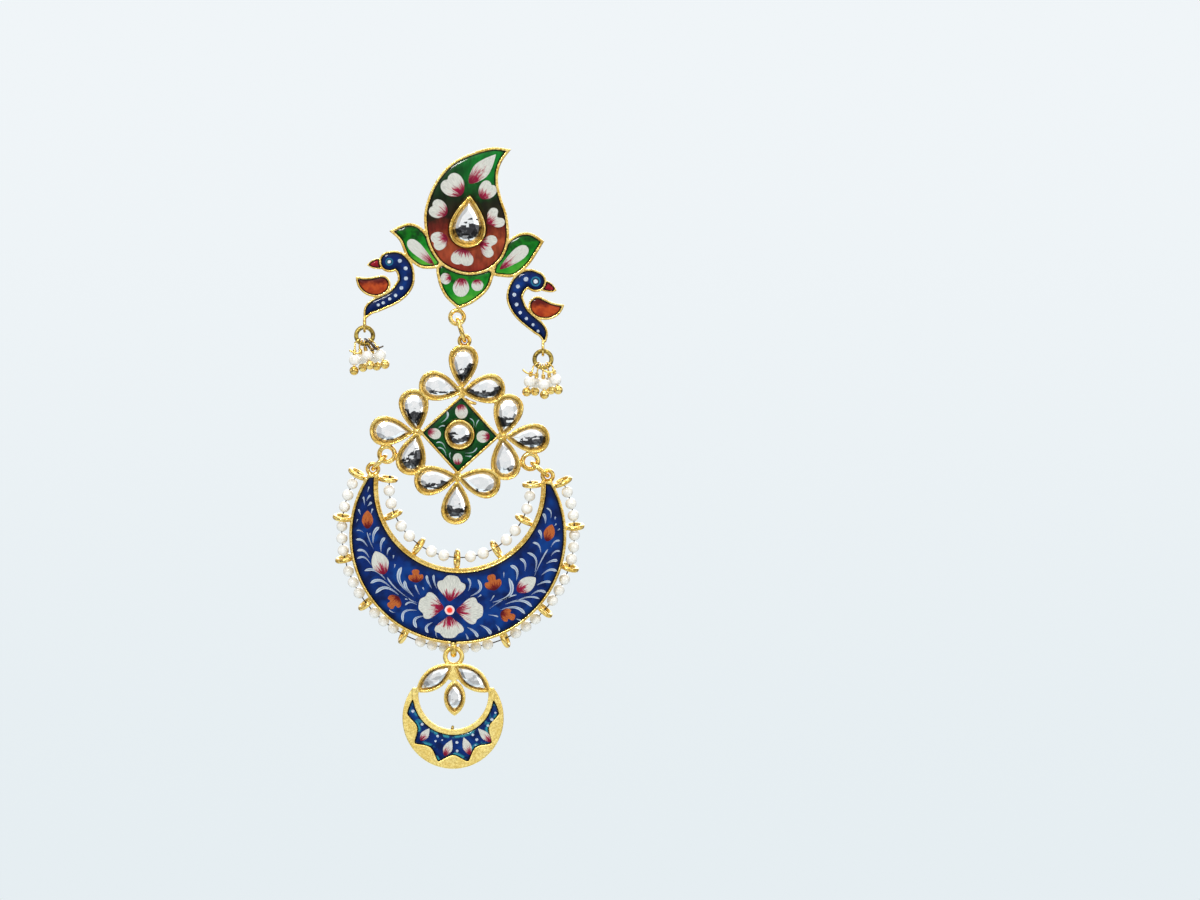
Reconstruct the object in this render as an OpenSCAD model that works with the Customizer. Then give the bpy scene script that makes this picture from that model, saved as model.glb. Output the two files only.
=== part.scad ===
/* [Gold plates] */
// Thickness of the stud, crescent and pendant plates
plate_t = 1.7; // [1.4:0.1:2.2]
// Thickness of the gold floor under the enamel
floor_t = 0.7; // [0.5:0.1:1.0]
// Width of the gold wall round an enamel cell
cell_wall = 0.5; // [0.4:0.05:0.6]
// Depth of the enamel below the front of its walls
enamel_drop = 0.2; // [0.1:0.05:0.4]
// Gap between an enamel or a stone and its gold wall
seat_gap = 0.05; // [0.04:0.01:0.08]

/* [Wire and links] */
// Radius of the wire of the main loops and links
link_wire = 0.42; // [0.35:0.01:0.45]
// Radius of the wire of the side rings and thread loops
loop_wire = 0.45; // [0.4:0.01:0.5]
// Running gap between two links
link_gap = 0.12; // [0.1:0.01:0.15]

/* [Stud] */
// Radius of the ear post
post_r = 0.45; // [0.35:0.05:0.6]
// Length of the ear post behind its pad
post_length = 10.5; // [9:0.5:12]
// Height of the pear stone setting in front of the back of the stud
setting_t = 2.9; // [2.4:0.1:3.4]

/* [Flower] */
// Length of one pear shaped petal
petal_length = 8.3; // [8:0.1:8.6]
// Width of one pear shaped petal
petal_width = 5.7; // [5.4:0.1:5.8]
// Gold rim round each petal stone
petal_rim = 0.78; // [0.7:0.02:0.85]
// Distance of the four petal groups from the middle
group_radius = 8.07; // [8:0.01:8.2]

/* [Crescent] */
// Radius of the outer edge of the crescent
crescent_r = 20.6; // [20.4:0.1:20.8]
// Radius of the bay in the crescent
bay_r = 15.5; // [15.4:0.1:15.6]
// Radius of one pearl on the strings
pearl_r = 1.1; // [0.9:0.05:1.1]

/* [Pendant] */
// Radius of the pendant disc
pendant_r = 9.6; // [9.4:0.1:9.8]
// Radius of the round opening in the pendant
pendant_hole_r = 6.65; // [6.5:0.05:6.8]

/* [Hidden] */
$fn = 32;
PETALS = [for (i = [1:12]) str("petal_stone_", i)];

GOLD = "gold";
BLUE = "midnightblue";
GREEN = "darkgreen";
RED = "firebrick";
STONE = "lightsteelblue";
PEARL = "ivory";

// Middle plane of the hanging loops, in y
loop_y = -plate_t / 2;
enamel_t = plate_t - floor_t - enamel_drop;
CUT = 10;

// Points on a Catmull-Rom curve through p, with n steps to each stretch
function curve(p, n = 5) = [
    for (i = [0:len(p) - 2], j = [0:n - 1])
        let (a = p[max(i - 1, 0)], b = p[i], c = p[i + 1], d = p[min(i + 2, len(p) - 1)], t = j / n)
        0.5 * (2 * b + (c - a) * t + (2 * a - 5 * b + 4 * c - d) * t * t + (3 * b - 3 * c + d - a) * t * t * t)
];

// Outline that starts and ends at a sharp tip, its first point
function tipped(p, n = 5) = curve(concat(p, [p[0]]), n);

// Pear outline with its tip at the top of a box of this length and width, middle at the origin
PEAR_WIDEST = 0.7698;
function pear(length, width, n = 28) = [
    for (i = [0:n - 1])
        let (t = 360 * i / n)
        [width / 2 / PEAR_WIDEST * sin(t) * sin(t / 2), length / 2 * cos(t)]
];

// Pointed oval with its long axis upright, as two arcs
function oval(length, width, n = 10) =
    let (r = (length * length + width * width) / (4 * width), a = asin(length / 2 / r), x = r - width / 2)
    concat([for (i = [0:n - 1]) let (t = -a + 2 * a * i / n) [r * cos(t) - x, r * sin(t)]],
           [for (i = [0:n - 1]) let (t = -a + 2 * a * i / n) [x - r * cos(t), -r * sin(t)]]);

// Band of varying width along rows of [x, z, half width]
function band(rows, n = 4) =
    let (c = concat(curve(rows, n), [rows[len(rows) - 1]]),
         side = [for (i = [0:len(c) - 1])
             let (d = c[min(i + 1, len(c) - 1)] - c[max(i - 1, 0)], l = norm([d[0], d[1]]))
             [-d[1], d[0]] / l * c[i][2]])
    concat([for (i = [0:len(c) - 1]) [c[i][0], c[i][1]] + side[i]],
           [for (i = [len(c) - 1:-1:0]) [c[i][0], c[i][1]] - side[i]]);

// Plate in the xz plane from a flat drawing, its back at y and its front t nearer the viewer
module plate(t, y = 0) {
    translate([0, y, 0]) rotate([90, 0, 0]) linear_extrude(t) children();
}

// Ring of wire that faces the front
module face_ring(r, wire) {
    rotate([90, 0, 0]) rotate_extrude() translate([r, 0]) circle(wire, $fn = 16);
}

// Ring of wire whose plane holds the y axis and a line that leans from straight down
module edge_ring(r, wire, lean) {
    rotate([0, -lean, 0]) rotate([0, 90, 0]) rotate_extrude() translate([r, 0]) circle(wire, $fn = 16);
}

// Faceted stone with its back at y: flat girdle, sloping crown facets and a table
module crown_stone(outline, girdle_t, crown_t, y, table = 0.55) {
    translate([0, y, 0]) rotate([90, 0, 0]) hull() {
        linear_extrude(girdle_t) polygon(outline);
        linear_extrude(girdle_t + crown_t) polygon(outline * table);
    }
}

// Drilled pearl at the origin, its hole along the axis given
pearl_bore = 0.25;
module pearl(r, axis) {
    along(axis) rotate_extrude($fn = 20) difference() {
        circle(r, $fn = 20);
        translate([-r, -r]) square([r + pearl_bore, 2 * r]);
    }
}

// Turns the z axis to the direction given
module along(axis) {
    rotate([0, acos(axis[2] / norm(axis)), atan2(axis[1], axis[0])]) children();
}

// Stud outlines as [x, z], each from its sharp tip
PAISLEY = [[10.1, 13.7], [6.5, 14.1], [1.9, 12.8], [-1.6, 10.8], [-4.4, 7.3], [-6.0, 3.4], [-6.4, 0],
           [-5.6, -4.4], [-3.4, -7.9], [-0.2, -9.7], [2.9, -10.1], [6.1, -9.2], [8.6, -6.7], [9.7, -3.2],
           [9.4, 1.0], [8.4, 4.1], [7.7, 6.9], [7.7, 9.4], [8.5, 11.6]];
LEFT_LEAF = [[-13.0, -1.8], [-9.7, -0.3], [-6.9, -1.1], [-4.5, -4.5], [-3.2, -8.3], [-6.5, -8.9],
             [-8.6, -7.8], [-9.9, -6.4], [-11.1, -3.6]];
RIGHT_LEAF = [[16.4, -3.7], [13.8, -2.1], [11.0, -2.5], [8.4, -5.0], [6.5, -9.6], [8.6, -10.5],
              [11.0, -10.3], [13.5, -8.2], [15.2, -5.7]];
BASE_LEAF = [[0.2, -16.6], [2.9, -15.4], [5.4, -13.3], [6.5, -11.2], [6.4, -9.0], [1.5, -7.0], [-3.6, -8.2],
             [-3.8, -11.0], [-2.7, -13.8], [-1.1, -15.6]];
// Duck body from head to tail as [x, z, half width] from the middle of the head
DUCK_BODY = [[-0.1, 0, 1.95], [1.5, 0.1, 1.9], [2.85, -1.35, 1.7], [3.15, -3.6, 1.6], [2.3, -5.2, 1.6],
             [0.9, -6.55, 1.45], [-0.8, -7.45, 1.4], [-2.7, -8.3, 1.35], [-3.95, -9.2, 1.0], [-4.7, -10.7, 0.25]];
DUCK_WING = [[-6.4, -2.8], [-4.3, -3.0], [-2.65, -2.75], [-1.3, -2.55], [-0.25, -3.1], [0.2, -4.4],
             [-0.5, -5.9], [-2.3, -6.7], [-4.35, -6.3], [-5.75, -5.1], [-6.3, -3.8]];
DUCK_BEAK = [[-4.3, -0.6], [-3.6, 0.1], [-2.6, 0.6], [-1.5, 0.5], [-1.4, -1.2], [-2.4, -1.35], [-3.5, -1.15]];
duck_head_r = 2.0;
duck_wall = 0.36;
throat = 0.4;
beak_wall = 0.22;

// Place of each duck: middle of its head, turn, and whether it is mirrored
LEFT_DUCK = [-12.95, -7.6, 0, 0];
RIGHT_DUCK = [14.8, -11.35, -15.4, 1];

pear_place = [1.95, 0.05];
pear_turn = -4.5;
pear_length = 9.8;
pear_width = 7.0;
pear_rim = 0.75;
pear_seat = 1.3;

module at_duck(place) {
    translate([place[0], place[1]]) rotate(place[2]) mirror([place[3], 0]) children();
}

// The notch under the head is filled out to a smooth throat
module duck_body_2d() {
    offset(delta = -throat) offset(delta = throat) {
        circle(duck_head_r);
        polygon(band(DUCK_BODY));
    }
}

module duck_2d() {
    duck_body_2d();
    polygon(tipped(DUCK_WING, 4));
    polygon(tipped(DUCK_BEAK, 3));
}

module duck_body_cell(gap) {
    difference() {
        offset(delta = -duck_wall - gap) duck_body_2d();
        offset(delta = gap) polygon(tipped(DUCK_WING, 4));
    }
}

module duck_wing_cell(gap) {
    offset(delta = -duck_wall - gap) polygon(tipped(DUCK_WING, 4));
}

module duck_beak_cell(gap) {
    difference() {
        offset(delta = -beak_wall - gap) polygon(tipped(DUCK_BEAK, 3));
        offset(delta = gap) duck_body_2d();
    }
}

module pear_at() {
    translate(pear_place) rotate(pear_turn) children();
}

module paisley_cell(gap) {
    difference() {
        offset(delta = -cell_wall - gap) polygon(tipped(PAISLEY));
        pear_at() offset(delta = gap) polygon(pear(pear_length, pear_width));
    }
}

module leaf_cell(outline, gap) {
    difference() {
        offset(delta = -cell_wall - gap) polygon(tipped(outline));
        offset(delta = gap) polygon(tipped(PAISLEY));
    }
}

module stud_outline_2d() {
    polygon(tipped(PAISLEY));
    polygon(tipped(LEFT_LEAF));
    polygon(tipped(RIGHT_LEAF));
    polygon(tipped(BASE_LEAF));
    at_duck(LEFT_DUCK) duck_2d();
    at_duck(RIGHT_DUCK) duck_2d();
}

module stud_cells_2d(gap) {
    paisley_cell(gap);
    leaf_cell(LEFT_LEAF, gap);
    leaf_cell(RIGHT_LEAF, gap);
    leaf_cell(BASE_LEAF, gap);
    for (duck = [LEFT_DUCK, RIGHT_DUCK]) at_duck(duck) {
        duck_body_cell(gap);
        duck_wing_cell(gap);
        duck_beak_cell(gap);
    }
}

// Pointed eye of wire under the tail of each duck, which carries its drop ring
tail_loop_r = 1.3;
tail_loop_wire = 0.27;
drop_ring_r = 1.6;
LEFT_RING = [-17.7, -21.6];
RIGHT_RING = [16.15, -26.1];
tail_loop_up = tail_loop_r - link_wire - tail_loop_wire - link_gap;

module tail_loop(ring) {
    translate([ring[0], loop_y, ring[1] + drop_ring_r + tail_loop_up]) edge_ring(tail_loop_r, tail_loop_wire, 0);
}

stud_loop = [-0.15, -18.1];
stud_loop_r = 1.3;

module stud_frame() {
    color(GOLD) difference() {
        union() {
            plate(plate_t) stud_outline_2d();
            plate(setting_t) pear_at() polygon(pear(pear_length, pear_width));
            translate([stud_loop[0], loop_y, stud_loop[1]]) face_ring(stud_loop_r, link_wire);
            tail_loop(LEFT_RING);
            tail_loop(RIGHT_RING);
        }
        plate(CUT, -floor_t) stud_cells_2d(0);
        plate(CUT, -pear_seat) pear_at() offset(delta = -pear_rim) polygon(pear(pear_length, pear_width));
    }
}

pad_r = 2.6;
pad_t = 0.5;
module ear_post() {
    color(GOLD) rotate([-90, 0, 0]) {
        cylinder(h = pad_t, r = pad_r);
        cylinder(h = pad_t + post_length, r = post_r);
    }
}

module enamel(colour) {
    color(colour) plate(enamel_t, -floor_t) children();
}

// The stone is shorter and narrower than its seat, and sits lower, since the seat's corner is cut blunter
stud_stone_length = pear_length - 2 * (pear_rim + seat_gap) - 0.5;
stud_stone_width = pear_width - 2 * (pear_rim + seat_gap) - 0.15;
stud_stone_drop = 0.22;

module stud_stone() {
    color(STONE) translate([pear_place[0], 0, pear_place[1]]) rotate([0, -pear_turn, 0])
        crown_stone([for (p = pear(stud_stone_length, stud_stone_width, 16)) p - [0, stud_stone_drop]],
                    1.1, 0.9, -pear_seat);
}

// Pearl drops: rows of [eye angle on the ring, pearl angle, pearl distance, forward lean]
LEFT_DROPS = [[-54, -22, 5.05, -0.7], [-27, -9, 4.4, 1.7], [0, 8, 3.95, -0.9], [27, 22, 4.5, 1.7], [54, 39, 4.8, -0.7]];
RIGHT_DROPS = [[-54, -31, 5.0, -0.7], [-27, -17, 4.6, 1.7], [0, 2, 4.8, -0.9], [27, 17, 4.4, 1.8], [54, 32, 4.6, -0.7]];
eye_r = 0.64;
eye_wire = 0.14;
pin_r = 0.16;
drop_pearl_r = 1.1;
ball_r = 0.88;

function ring_point(ring, angle, r) = [ring[0] + r * sin(angle), loop_y, ring[1] - r * cos(angle)];
function drop_pearl_at(ring, row) = ring_point(ring, row[1], row[2]) + [0, row[3], 0];
function drop_foot(ring, row) = ring_point(ring, row[0], drop_ring_r + eye_r);
function drop_way(ring, row) =
    let (d = drop_pearl_at(ring, row) - drop_foot(ring, row)) d / norm(d);

module drop_ring(ring) {
    color(GOLD) translate([ring[0], loop_y, ring[1]]) face_ring(drop_ring_r, link_wire);
}

module drop_pins(ring, rows) {
    color(GOLD) for (row = rows) {
        eye = ring_point(ring, row[0], drop_ring_r);
        foot = drop_foot(ring, row);
        way = drop_way(ring, row);
        ball = drop_pearl_at(ring, row) + way * (drop_pearl_r + ball_r + seat_gap);
        translate(eye) edge_ring(eye_r, eye_wire, row[0]);
        translate(foot) along(way) cylinder(h = norm(ball - foot), r = pin_r, $fn = 16);
        translate(ball) sphere(ball_r, $fn = 24);
    }
}

module drop_pearls(ring, rows) {
    color(PEARL) for (row = rows)
        translate(drop_pearl_at(ring, row)) pearl(drop_pearl_r, drop_way(ring, row));
}

// A link between two loops: it hangs in the first and holds the second
function down(a, b) = (b - a) / norm(b - a);
function link_end(a, b, r) = a + down(a, b) * r;
function link_hole(a, ra, wa, b, rb, wb) = (norm(b - a) - ra - rb + wa + wb) / 2 + link_gap;
function link_middle(a, ra, wa, b, rb, wb) =
    link_end(a, b, ra - wa - link_gap + link_hole(a, ra, wa, b, rb, wb));

module link(a, ra, wa, b, rb, wb) {
    m = link_middle(a, ra, wa, b, rb, wb);
    lean = atan2(b[0] - a[0], a[1] - b[1]);
    color(GOLD) translate([m[0], loop_y, m[1]])
        edge_ring(link_hole(a, ra, wa, b, rb, wb) + link_wire, link_wire, lean);
}

// Flower in its own frame, its middle at the origin, then turned and placed
flower_place = [0.36, -40.4];
flower_turn = -2.9;
petal_lift = 0.75;
petal_splay = 80;
petal_t = 1.9;
stone_seat = 0.6;
diamond_reach = 7.0;
diamond_wall = 0.45;
solder_r = 0.95;
centre_r = 2.8;
centre_rim = 0.62;
centre_t = 2.6;
flower_eye_r = 0.95;
flower_eye_wire = 0.4;
flower_eye_up = group_radius + petal_lift + petal_length + 0.7;
side_ring_r = 1.45;
SIDE_RING = [13.6, -4.4];

function turned(p, a) = [p[0] * cos(a) - p[1] * sin(a), p[0] * sin(a) + p[1] * cos(a)];
function on_flower(p) = flower_place + turned(p, flower_turn);

// Each petal as [group angle, own angle, distance of the tip from the group point]
PETAL_PLACES = [for (g = [90:-90:-180], s = [-1, 0, 1]) [g, g - s * petal_splay, s == 0 ? petal_lift : 0]];

module at_flower() {
    translate(flower_place) rotate(flower_turn) children();
}

module at_petal(place) {
    translate(group_radius * [cos(place[0]), sin(place[0])])
        rotate(place[1]) translate([place[2] + petal_length / 2, 0]) rotate(90) children();
}

module diamond_2d(reach) {
    rotate(45) square(reach * sqrt(2), center = true);
}

module flower_outline_2d() {
    for (place = PETAL_PLACES) at_petal(place) polygon(pear(petal_length, petal_width));
    for (g = [0:90:270]) rotate(g) translate([group_radius, 0]) circle(solder_r, $fn = 24);
    diamond_2d(diamond_reach + diamond_wall * sqrt(2));
}

module flower_cell(gap) {
    difference() {
        diamond_2d(diamond_reach - gap * sqrt(2));
        circle(centre_r + gap);
    }
}

module flower_frame() {
    color(GOLD) difference() {
        union() {
            plate(petal_t) at_flower() flower_outline_2d();
            plate(centre_t) at_flower() circle(centre_r);
            for (side = [-1, 1]) {
                ring = on_flower([side * SIDE_RING[0], SIDE_RING[1]]);
                translate([ring[0], loop_y, ring[1]]) face_ring(side_ring_r, loop_wire);
            }
            eye = on_flower([0, flower_eye_up]);
            translate([eye[0], loop_y, eye[1]]) face_ring(flower_eye_r, flower_eye_wire);
        }
        for (place = PETAL_PLACES)
            plate(CUT, -stone_seat) at_flower() at_petal(place)
                polygon(pear(petal_length - 2 * petal_rim, petal_width - 2 * petal_rim));
        plate(CUT, -floor_t) at_flower() flower_cell(0);
        plate(CUT, -pear_seat) at_flower() circle(centre_r - centre_rim);
    }
}

module flower_enamel() {
    color(GREEN) plate(petal_t - floor_t - enamel_drop, -floor_t) at_flower() flower_cell(seat_gap);
}

module petal_stone(i) {
    place = PETAL_PLACES[i];
    tip = group_radius * [cos(place[0]), sin(place[0])]
        + (place[2] + petal_length / 2) * [cos(place[1]), sin(place[1])];
    at = on_flower(tip);
    rim = petal_rim + seat_gap;
    color(STONE) translate([at[0], 0, at[1]]) rotate([0, -(place[1] + 90 + flower_turn), 0])
        crown_stone(pear(petal_length - 2 * rim - 0.25, petal_width - 2 * rim, 16), 0.8, 0.8, -stone_seat);
}

module centre_stone() {
    color(STONE) translate([flower_place[0], 0, flower_place[1]])
        crown_stone([for (a = [0:22.5:337.5]) (centre_r - centre_rim - seat_gap) * [cos(a), sin(a)]],
                    0.9, 0.8, -pear_seat);
}

// Crescent in its own frame, then turned and placed
crescent_place = [0.23, -53.77];
crescent_turn = -2.2;
outer_middle = [0, -5.8];
bay_middle = [0, 3.45];
horn_top = 5.2;
rim_w = 0.75;
rim_t = 2.0;
horn_wall = 0.6;
string_loop_r = 1.5;
string_loop_turn = 10;
inner_string_r = bay_r - 2.1;
inner_loop_r = bay_r - 1.75;
outer_string_middle = [0, -5.2];
outer_string_r = crescent_r + 1.5;
outer_string_lean = 3.9;
lean_height = 6;
INNER_LOOPS = [-94, -65, -32.5, 0, 32.5, 65, 94];
OUTER_SIDE = [25.7, 49.9, 74.6, 95, 118];
OUTER_LOOPS = [for (side = [-1, 1], a = OUTER_SIDE) side * a];
horn_eye = [16.6, 6.2];
horn_eye_r = 1.0;
horn_eye_wire = 0.4;
pearl_step = 6.0;
inner_pearl_step = 5.3;
thread_r = 0.12;
bottom_loop_r = 1.25;
bottom_loop_wire = 0.6;
bottom_loop = [-0.82, -80.88];
// How deep the bottom loop reaches into the gold round the enamel
loop_sink = 0.12;

function on_crescent(p) = crescent_place + turned(p, crescent_turn);

module at_crescent() {
    translate(crescent_place) rotate(crescent_turn) children();
}

// The same place for solids
module on_crescent_3d() {
    translate([crescent_place[0], loop_y, crescent_place[1]]) rotate([0, -crescent_turn, 0]) children();
}

module outer_string_plane() {
    on_crescent_3d() translate([0, 0, lean_height]) rotate([outer_string_lean, 0, 0])
        translate([outer_string_middle[0], 0, outer_string_middle[1] - lean_height]) children();
}

module below(height) {
    translate([-2 * crescent_r, height - 3 * crescent_r]) square([4 * crescent_r, 3 * crescent_r]);
}

module crescent_2d(outer, bay, top) {
    intersection() {
        difference() {
            translate(outer_middle) circle(outer, $fn = 128);
            translate(bay_middle) circle(bay, $fn = 128);
        }
        below(top);
    }
}

module string_loop(angle, r) {
    translate([r * sin(angle), 0, -r * cos(angle)]) rotate([0, -angle, 0])
        rotate([0, 0, angle > 0 ? -string_loop_turn : string_loop_turn]) edge_ring(string_loop_r, loop_wire, 0);
}

module crescent_frame() {
    color(GOLD) {
        difference() {
            plate(rim_t) at_crescent() crescent_2d(crescent_r, bay_r, horn_top);
            plate(CUT, -plate_t) at_crescent() crescent_2d(crescent_r + 1, bay_r + rim_w + 0.12, horn_top + 1);
            plate(CUT, -floor_t) at_crescent()
                crescent_2d(crescent_r - cell_wall, bay_r + rim_w, horn_top - horn_wall);
        }
        on_crescent_3d() translate([bay_middle[0], 0, bay_middle[1]])
            for (angle = INNER_LOOPS) string_loop(angle, inner_loop_r);
        outer_string_plane() for (angle = OUTER_LOOPS) string_loop(angle, outer_string_r);
        for (side = [-1, 1]) {
            eye = on_crescent([side * horn_eye[0], horn_eye[1]]);
            translate([eye[0], loop_y, eye[1]]) face_ring(horn_eye_r, horn_eye_wire);
        }
        difference() {
            translate([bottom_loop[0], loop_y, bottom_loop[1]]) edge_ring(bottom_loop_r, bottom_loop_wire, 0);
            plate(CUT, loop_sink - floor_t) at_crescent()
                crescent_2d(crescent_r - cell_wall + loop_sink, bay_r + rim_w, horn_top - horn_wall);
        }
    }
}

module crescent_enamel() {
    color(BLUE) plate(enamel_t, -floor_t) at_crescent()
        crescent_2d(crescent_r - cell_wall - seat_gap, bay_r + rim_w + seat_gap, horn_top - horn_wall - seat_gap);
}

function side_loop(side) = on_flower([side * SIDE_RING[0], SIDE_RING[1]]);
function horn_loop(side) = on_crescent([side * horn_eye[0], horn_eye[1]]);

module side_link(side) {
    link(side_loop(side), side_ring_r, loop_wire, horn_loop(side), horn_eye_r, horn_eye_wire);
}

module string_pearls(angles, r) {
    for (angle = angles)
        translate([r * sin(angle), 0, -r * cos(angle)]) pearl(pearl_r, [cos(angle), 0, sin(angle)]);
}

module string_thread(reach, r) {
    rotate([90, 0, 0]) rotate([0, 0, -90 - reach]) rotate_extrude(angle = 2 * reach)
        translate([r, 0]) circle(thread_r, $fn = 16);
}

module inner_string() {
    on_crescent_3d() translate([bay_middle[0], 0, bay_middle[1]]) children();
}

INNER_PEARLS = [for (i = [0:len(INNER_LOOPS) - 2], s = [-1, 1])
    (INNER_LOOPS[i] + INNER_LOOPS[i + 1]) / 2 + s * inner_pearl_step];
bottom_pearl = 10.8;
OUTER_PEARLS = [for (side = [-1, 1], i = [0:4], s = [-1, 0, 1])
    side * ((i == 0 ? bottom_pearl : (OUTER_SIDE[i - 1] + OUTER_SIDE[i]) / 2) + s * pearl_step)];

// Pendant
pendant_place = [-0.9, -94.2];
pendant_hole = [-0.85, -89.7];
pendant_rim = 1.0;
pendant_top = -88.4;
pendant_web = [-0.85, -85.7];
pendant_web_r = 1.4;
pendant_ring = [-0.82, -82.52];
pendant_ring_r = 1.59;
pendant_seat = 1.1;
pendant_rim_t = 1.9;
oval_t = 2.05;
scallop_step = 38;
scallop_tip = 8.75;
scallop_valley = 7.0;
scallop_last = 2.5 * scallop_step;
scallop_end = 118;
scallop_taper = 0.016;
// How many gaps the scalloped edge draws back, so that its slopes keep one gap too
scallop_slack = 1.4;
oval_rim = 0.62;
// Stone settings of the pendant as [x, z, turn, length, width]
OVALS = [[-4.35, -86.6, -53.5, 8.7, 4.1], [-0.6, -90.3, 0, 6.9, 4.1], [2.65, -86.6, 53.5, 8.7, 4.1]];

// Reach of the scalloped edge at an angle: arcs up to the last tip, and a straight taper beyond it
function scallop_reach(a) =
    let (f = abs(a / scallop_step + 0.5 - floor(a / scallop_step + 0.5)))
    abs(a) > scallop_last ? scallop_tip - scallop_taper * (abs(a) - scallop_last)
        : scallop_valley + (scallop_tip - scallop_valley) * (1 - sin(180 * f));

function scallops(gap) = concat(
    [for (a = [-scallop_end:2:scallop_end]) (scallop_reach(a) - scallop_slack * gap) * [sin(a), -cos(a)]],
    [[0, 0]]);

module pendant_enamel_2d(gap) {
    intersection() {
        difference() {
            translate(pendant_place) polygon(scallops(gap));
            translate(pendant_hole) circle(pendant_hole_r + pendant_rim + gap, $fn = 96);
        }
        translate(pendant_place) circle(pendant_r - 0.45 - gap, $fn = 96);
    }
}

module at_oval(o) {
    translate([o[0], o[1]]) rotate(o[2]) children();
}

module pendant_disc_2d(hole, grow = 0) {
    intersection() {
        difference() {
            translate(pendant_place) circle(pendant_r + grow, $fn = 96);
            translate(pendant_hole) circle(hole, $fn = 96);
        }
        translate([-2 * pendant_r, pendant_top + grow - 3 * pendant_r]) square([4 * pendant_r, 3 * pendant_r]);
    }
}

module pendant_frame() {
    color(GOLD) difference() {
        union() {
            difference() {
                plate(pendant_rim_t) pendant_disc_2d(pendant_hole_r);
                plate(CUT, -plate_t) pendant_disc_2d(pendant_hole_r + pendant_rim + 0.12, 1);
            }
            plate(oval_t) {
                for (o = OVALS) at_oval(o) polygon(oval(o[3], o[4]));
                translate(pendant_web) circle(pendant_web_r);
            }
            translate([pendant_ring[0], loop_y, pendant_ring[1]]) face_ring(pendant_ring_r, loop_wire);
        }
        plate(CUT, -pendant_seat) pendant_enamel_2d(0);
        for (o = OVALS) plate(CUT, -stone_seat) at_oval(o) polygon(oval(o[3] - 3 * oval_rim, o[4] - 2 * oval_rim));
    }
}

module pendant_enamel() {
    color(BLUE) plate(plate_t - pendant_seat - 0.05, -pendant_seat) pendant_enamel_2d(seat_gap);
}

module pendant_stone(i) {
    o = OVALS[i];
    color(STONE) translate([o[0], 0, o[1]]) rotate([0, -o[2], 0])
        crown_stone(oval(o[3] - 3 * oval_rim - 0.2, o[4] - 2 * oval_rim - 0.12, 6), 0.9, 0.7, -stone_seat);
}

ear_post();
stud_frame();
enamel(GREEN) paisley_cell(seat_gap);  // paisley_enamel
enamel(GREEN) leaf_cell(LEFT_LEAF, seat_gap);  // left_leaf_enamel
enamel(GREEN) leaf_cell(RIGHT_LEAF, seat_gap);  // right_leaf_enamel
enamel(GREEN) leaf_cell(BASE_LEAF, seat_gap);  // base_leaf_enamel
enamel(BLUE) at_duck(LEFT_DUCK) duck_body_cell(seat_gap);  // left_duck_enamel
enamel(RED) at_duck(LEFT_DUCK) duck_wing_cell(seat_gap);  // left_wing_enamel
enamel(RED) at_duck(LEFT_DUCK) duck_beak_cell(seat_gap);  // left_beak_enamel
enamel(BLUE) at_duck(RIGHT_DUCK) duck_body_cell(seat_gap);  // right_duck_enamel
enamel(RED) at_duck(RIGHT_DUCK) duck_wing_cell(seat_gap);  // right_wing_enamel
enamel(RED) at_duck(RIGHT_DUCK) duck_beak_cell(seat_gap);  // right_beak_enamel
stud_stone();
drop_ring(LEFT_RING);  // left_drop_ring
drop_pins(LEFT_RING, LEFT_DROPS);  // left_drop_pins
drop_pearls(LEFT_RING, LEFT_DROPS);  // left_drop_pearls
drop_ring(RIGHT_RING);  // right_drop_ring
drop_pins(RIGHT_RING, RIGHT_DROPS);  // right_drop_pins
drop_pearls(RIGHT_RING, RIGHT_DROPS);  // right_drop_pearls
link(stud_loop, stud_loop_r, link_wire, on_flower([0, flower_eye_up]), flower_eye_r, flower_eye_wire);  // top_link
flower_frame();
flower_enamel();
centre_stone();
for (i = [0:11]) petal_stone(i);
crescent_frame();
crescent_enamel();
side_link(-1);  // left_side_link
side_link(1);  // right_side_link
color(PEARL) inner_string() string_pearls(INNER_PEARLS, inner_string_r);  // inner_pearls
color("dimgray") inner_string() string_thread(97, inner_string_r);  // inner_thread
color(PEARL) outer_string_plane() string_pearls(OUTER_PEARLS, outer_string_r);  // outer_pearls
color("dimgray") outer_string_plane() string_thread(118.5, outer_string_r);  // outer_thread
pendant_frame();
pendant_enamel();
pendant_stone(0);  // pendant_stone_left
pendant_stone(1);  // pendant_stone_middle
pendant_stone(2);  // pendant_stone_right
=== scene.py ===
import math

import bmesh
import bpy
import numpy as np
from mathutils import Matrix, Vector
from mathutils.geometry import delaunay_2d_cdt


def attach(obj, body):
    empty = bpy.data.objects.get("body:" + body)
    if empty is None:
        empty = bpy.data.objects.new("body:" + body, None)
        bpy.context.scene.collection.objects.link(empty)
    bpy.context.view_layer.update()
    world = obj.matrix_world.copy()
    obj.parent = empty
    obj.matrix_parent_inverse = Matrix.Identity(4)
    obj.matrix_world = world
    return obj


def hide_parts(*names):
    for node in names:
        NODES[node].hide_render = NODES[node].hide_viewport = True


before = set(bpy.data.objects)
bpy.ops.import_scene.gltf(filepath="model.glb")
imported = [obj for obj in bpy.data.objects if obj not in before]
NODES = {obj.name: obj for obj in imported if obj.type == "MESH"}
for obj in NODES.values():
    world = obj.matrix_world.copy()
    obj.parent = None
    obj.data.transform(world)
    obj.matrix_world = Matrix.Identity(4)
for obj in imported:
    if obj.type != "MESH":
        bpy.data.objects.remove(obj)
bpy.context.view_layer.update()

MM = 0.001


# Nodes

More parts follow.
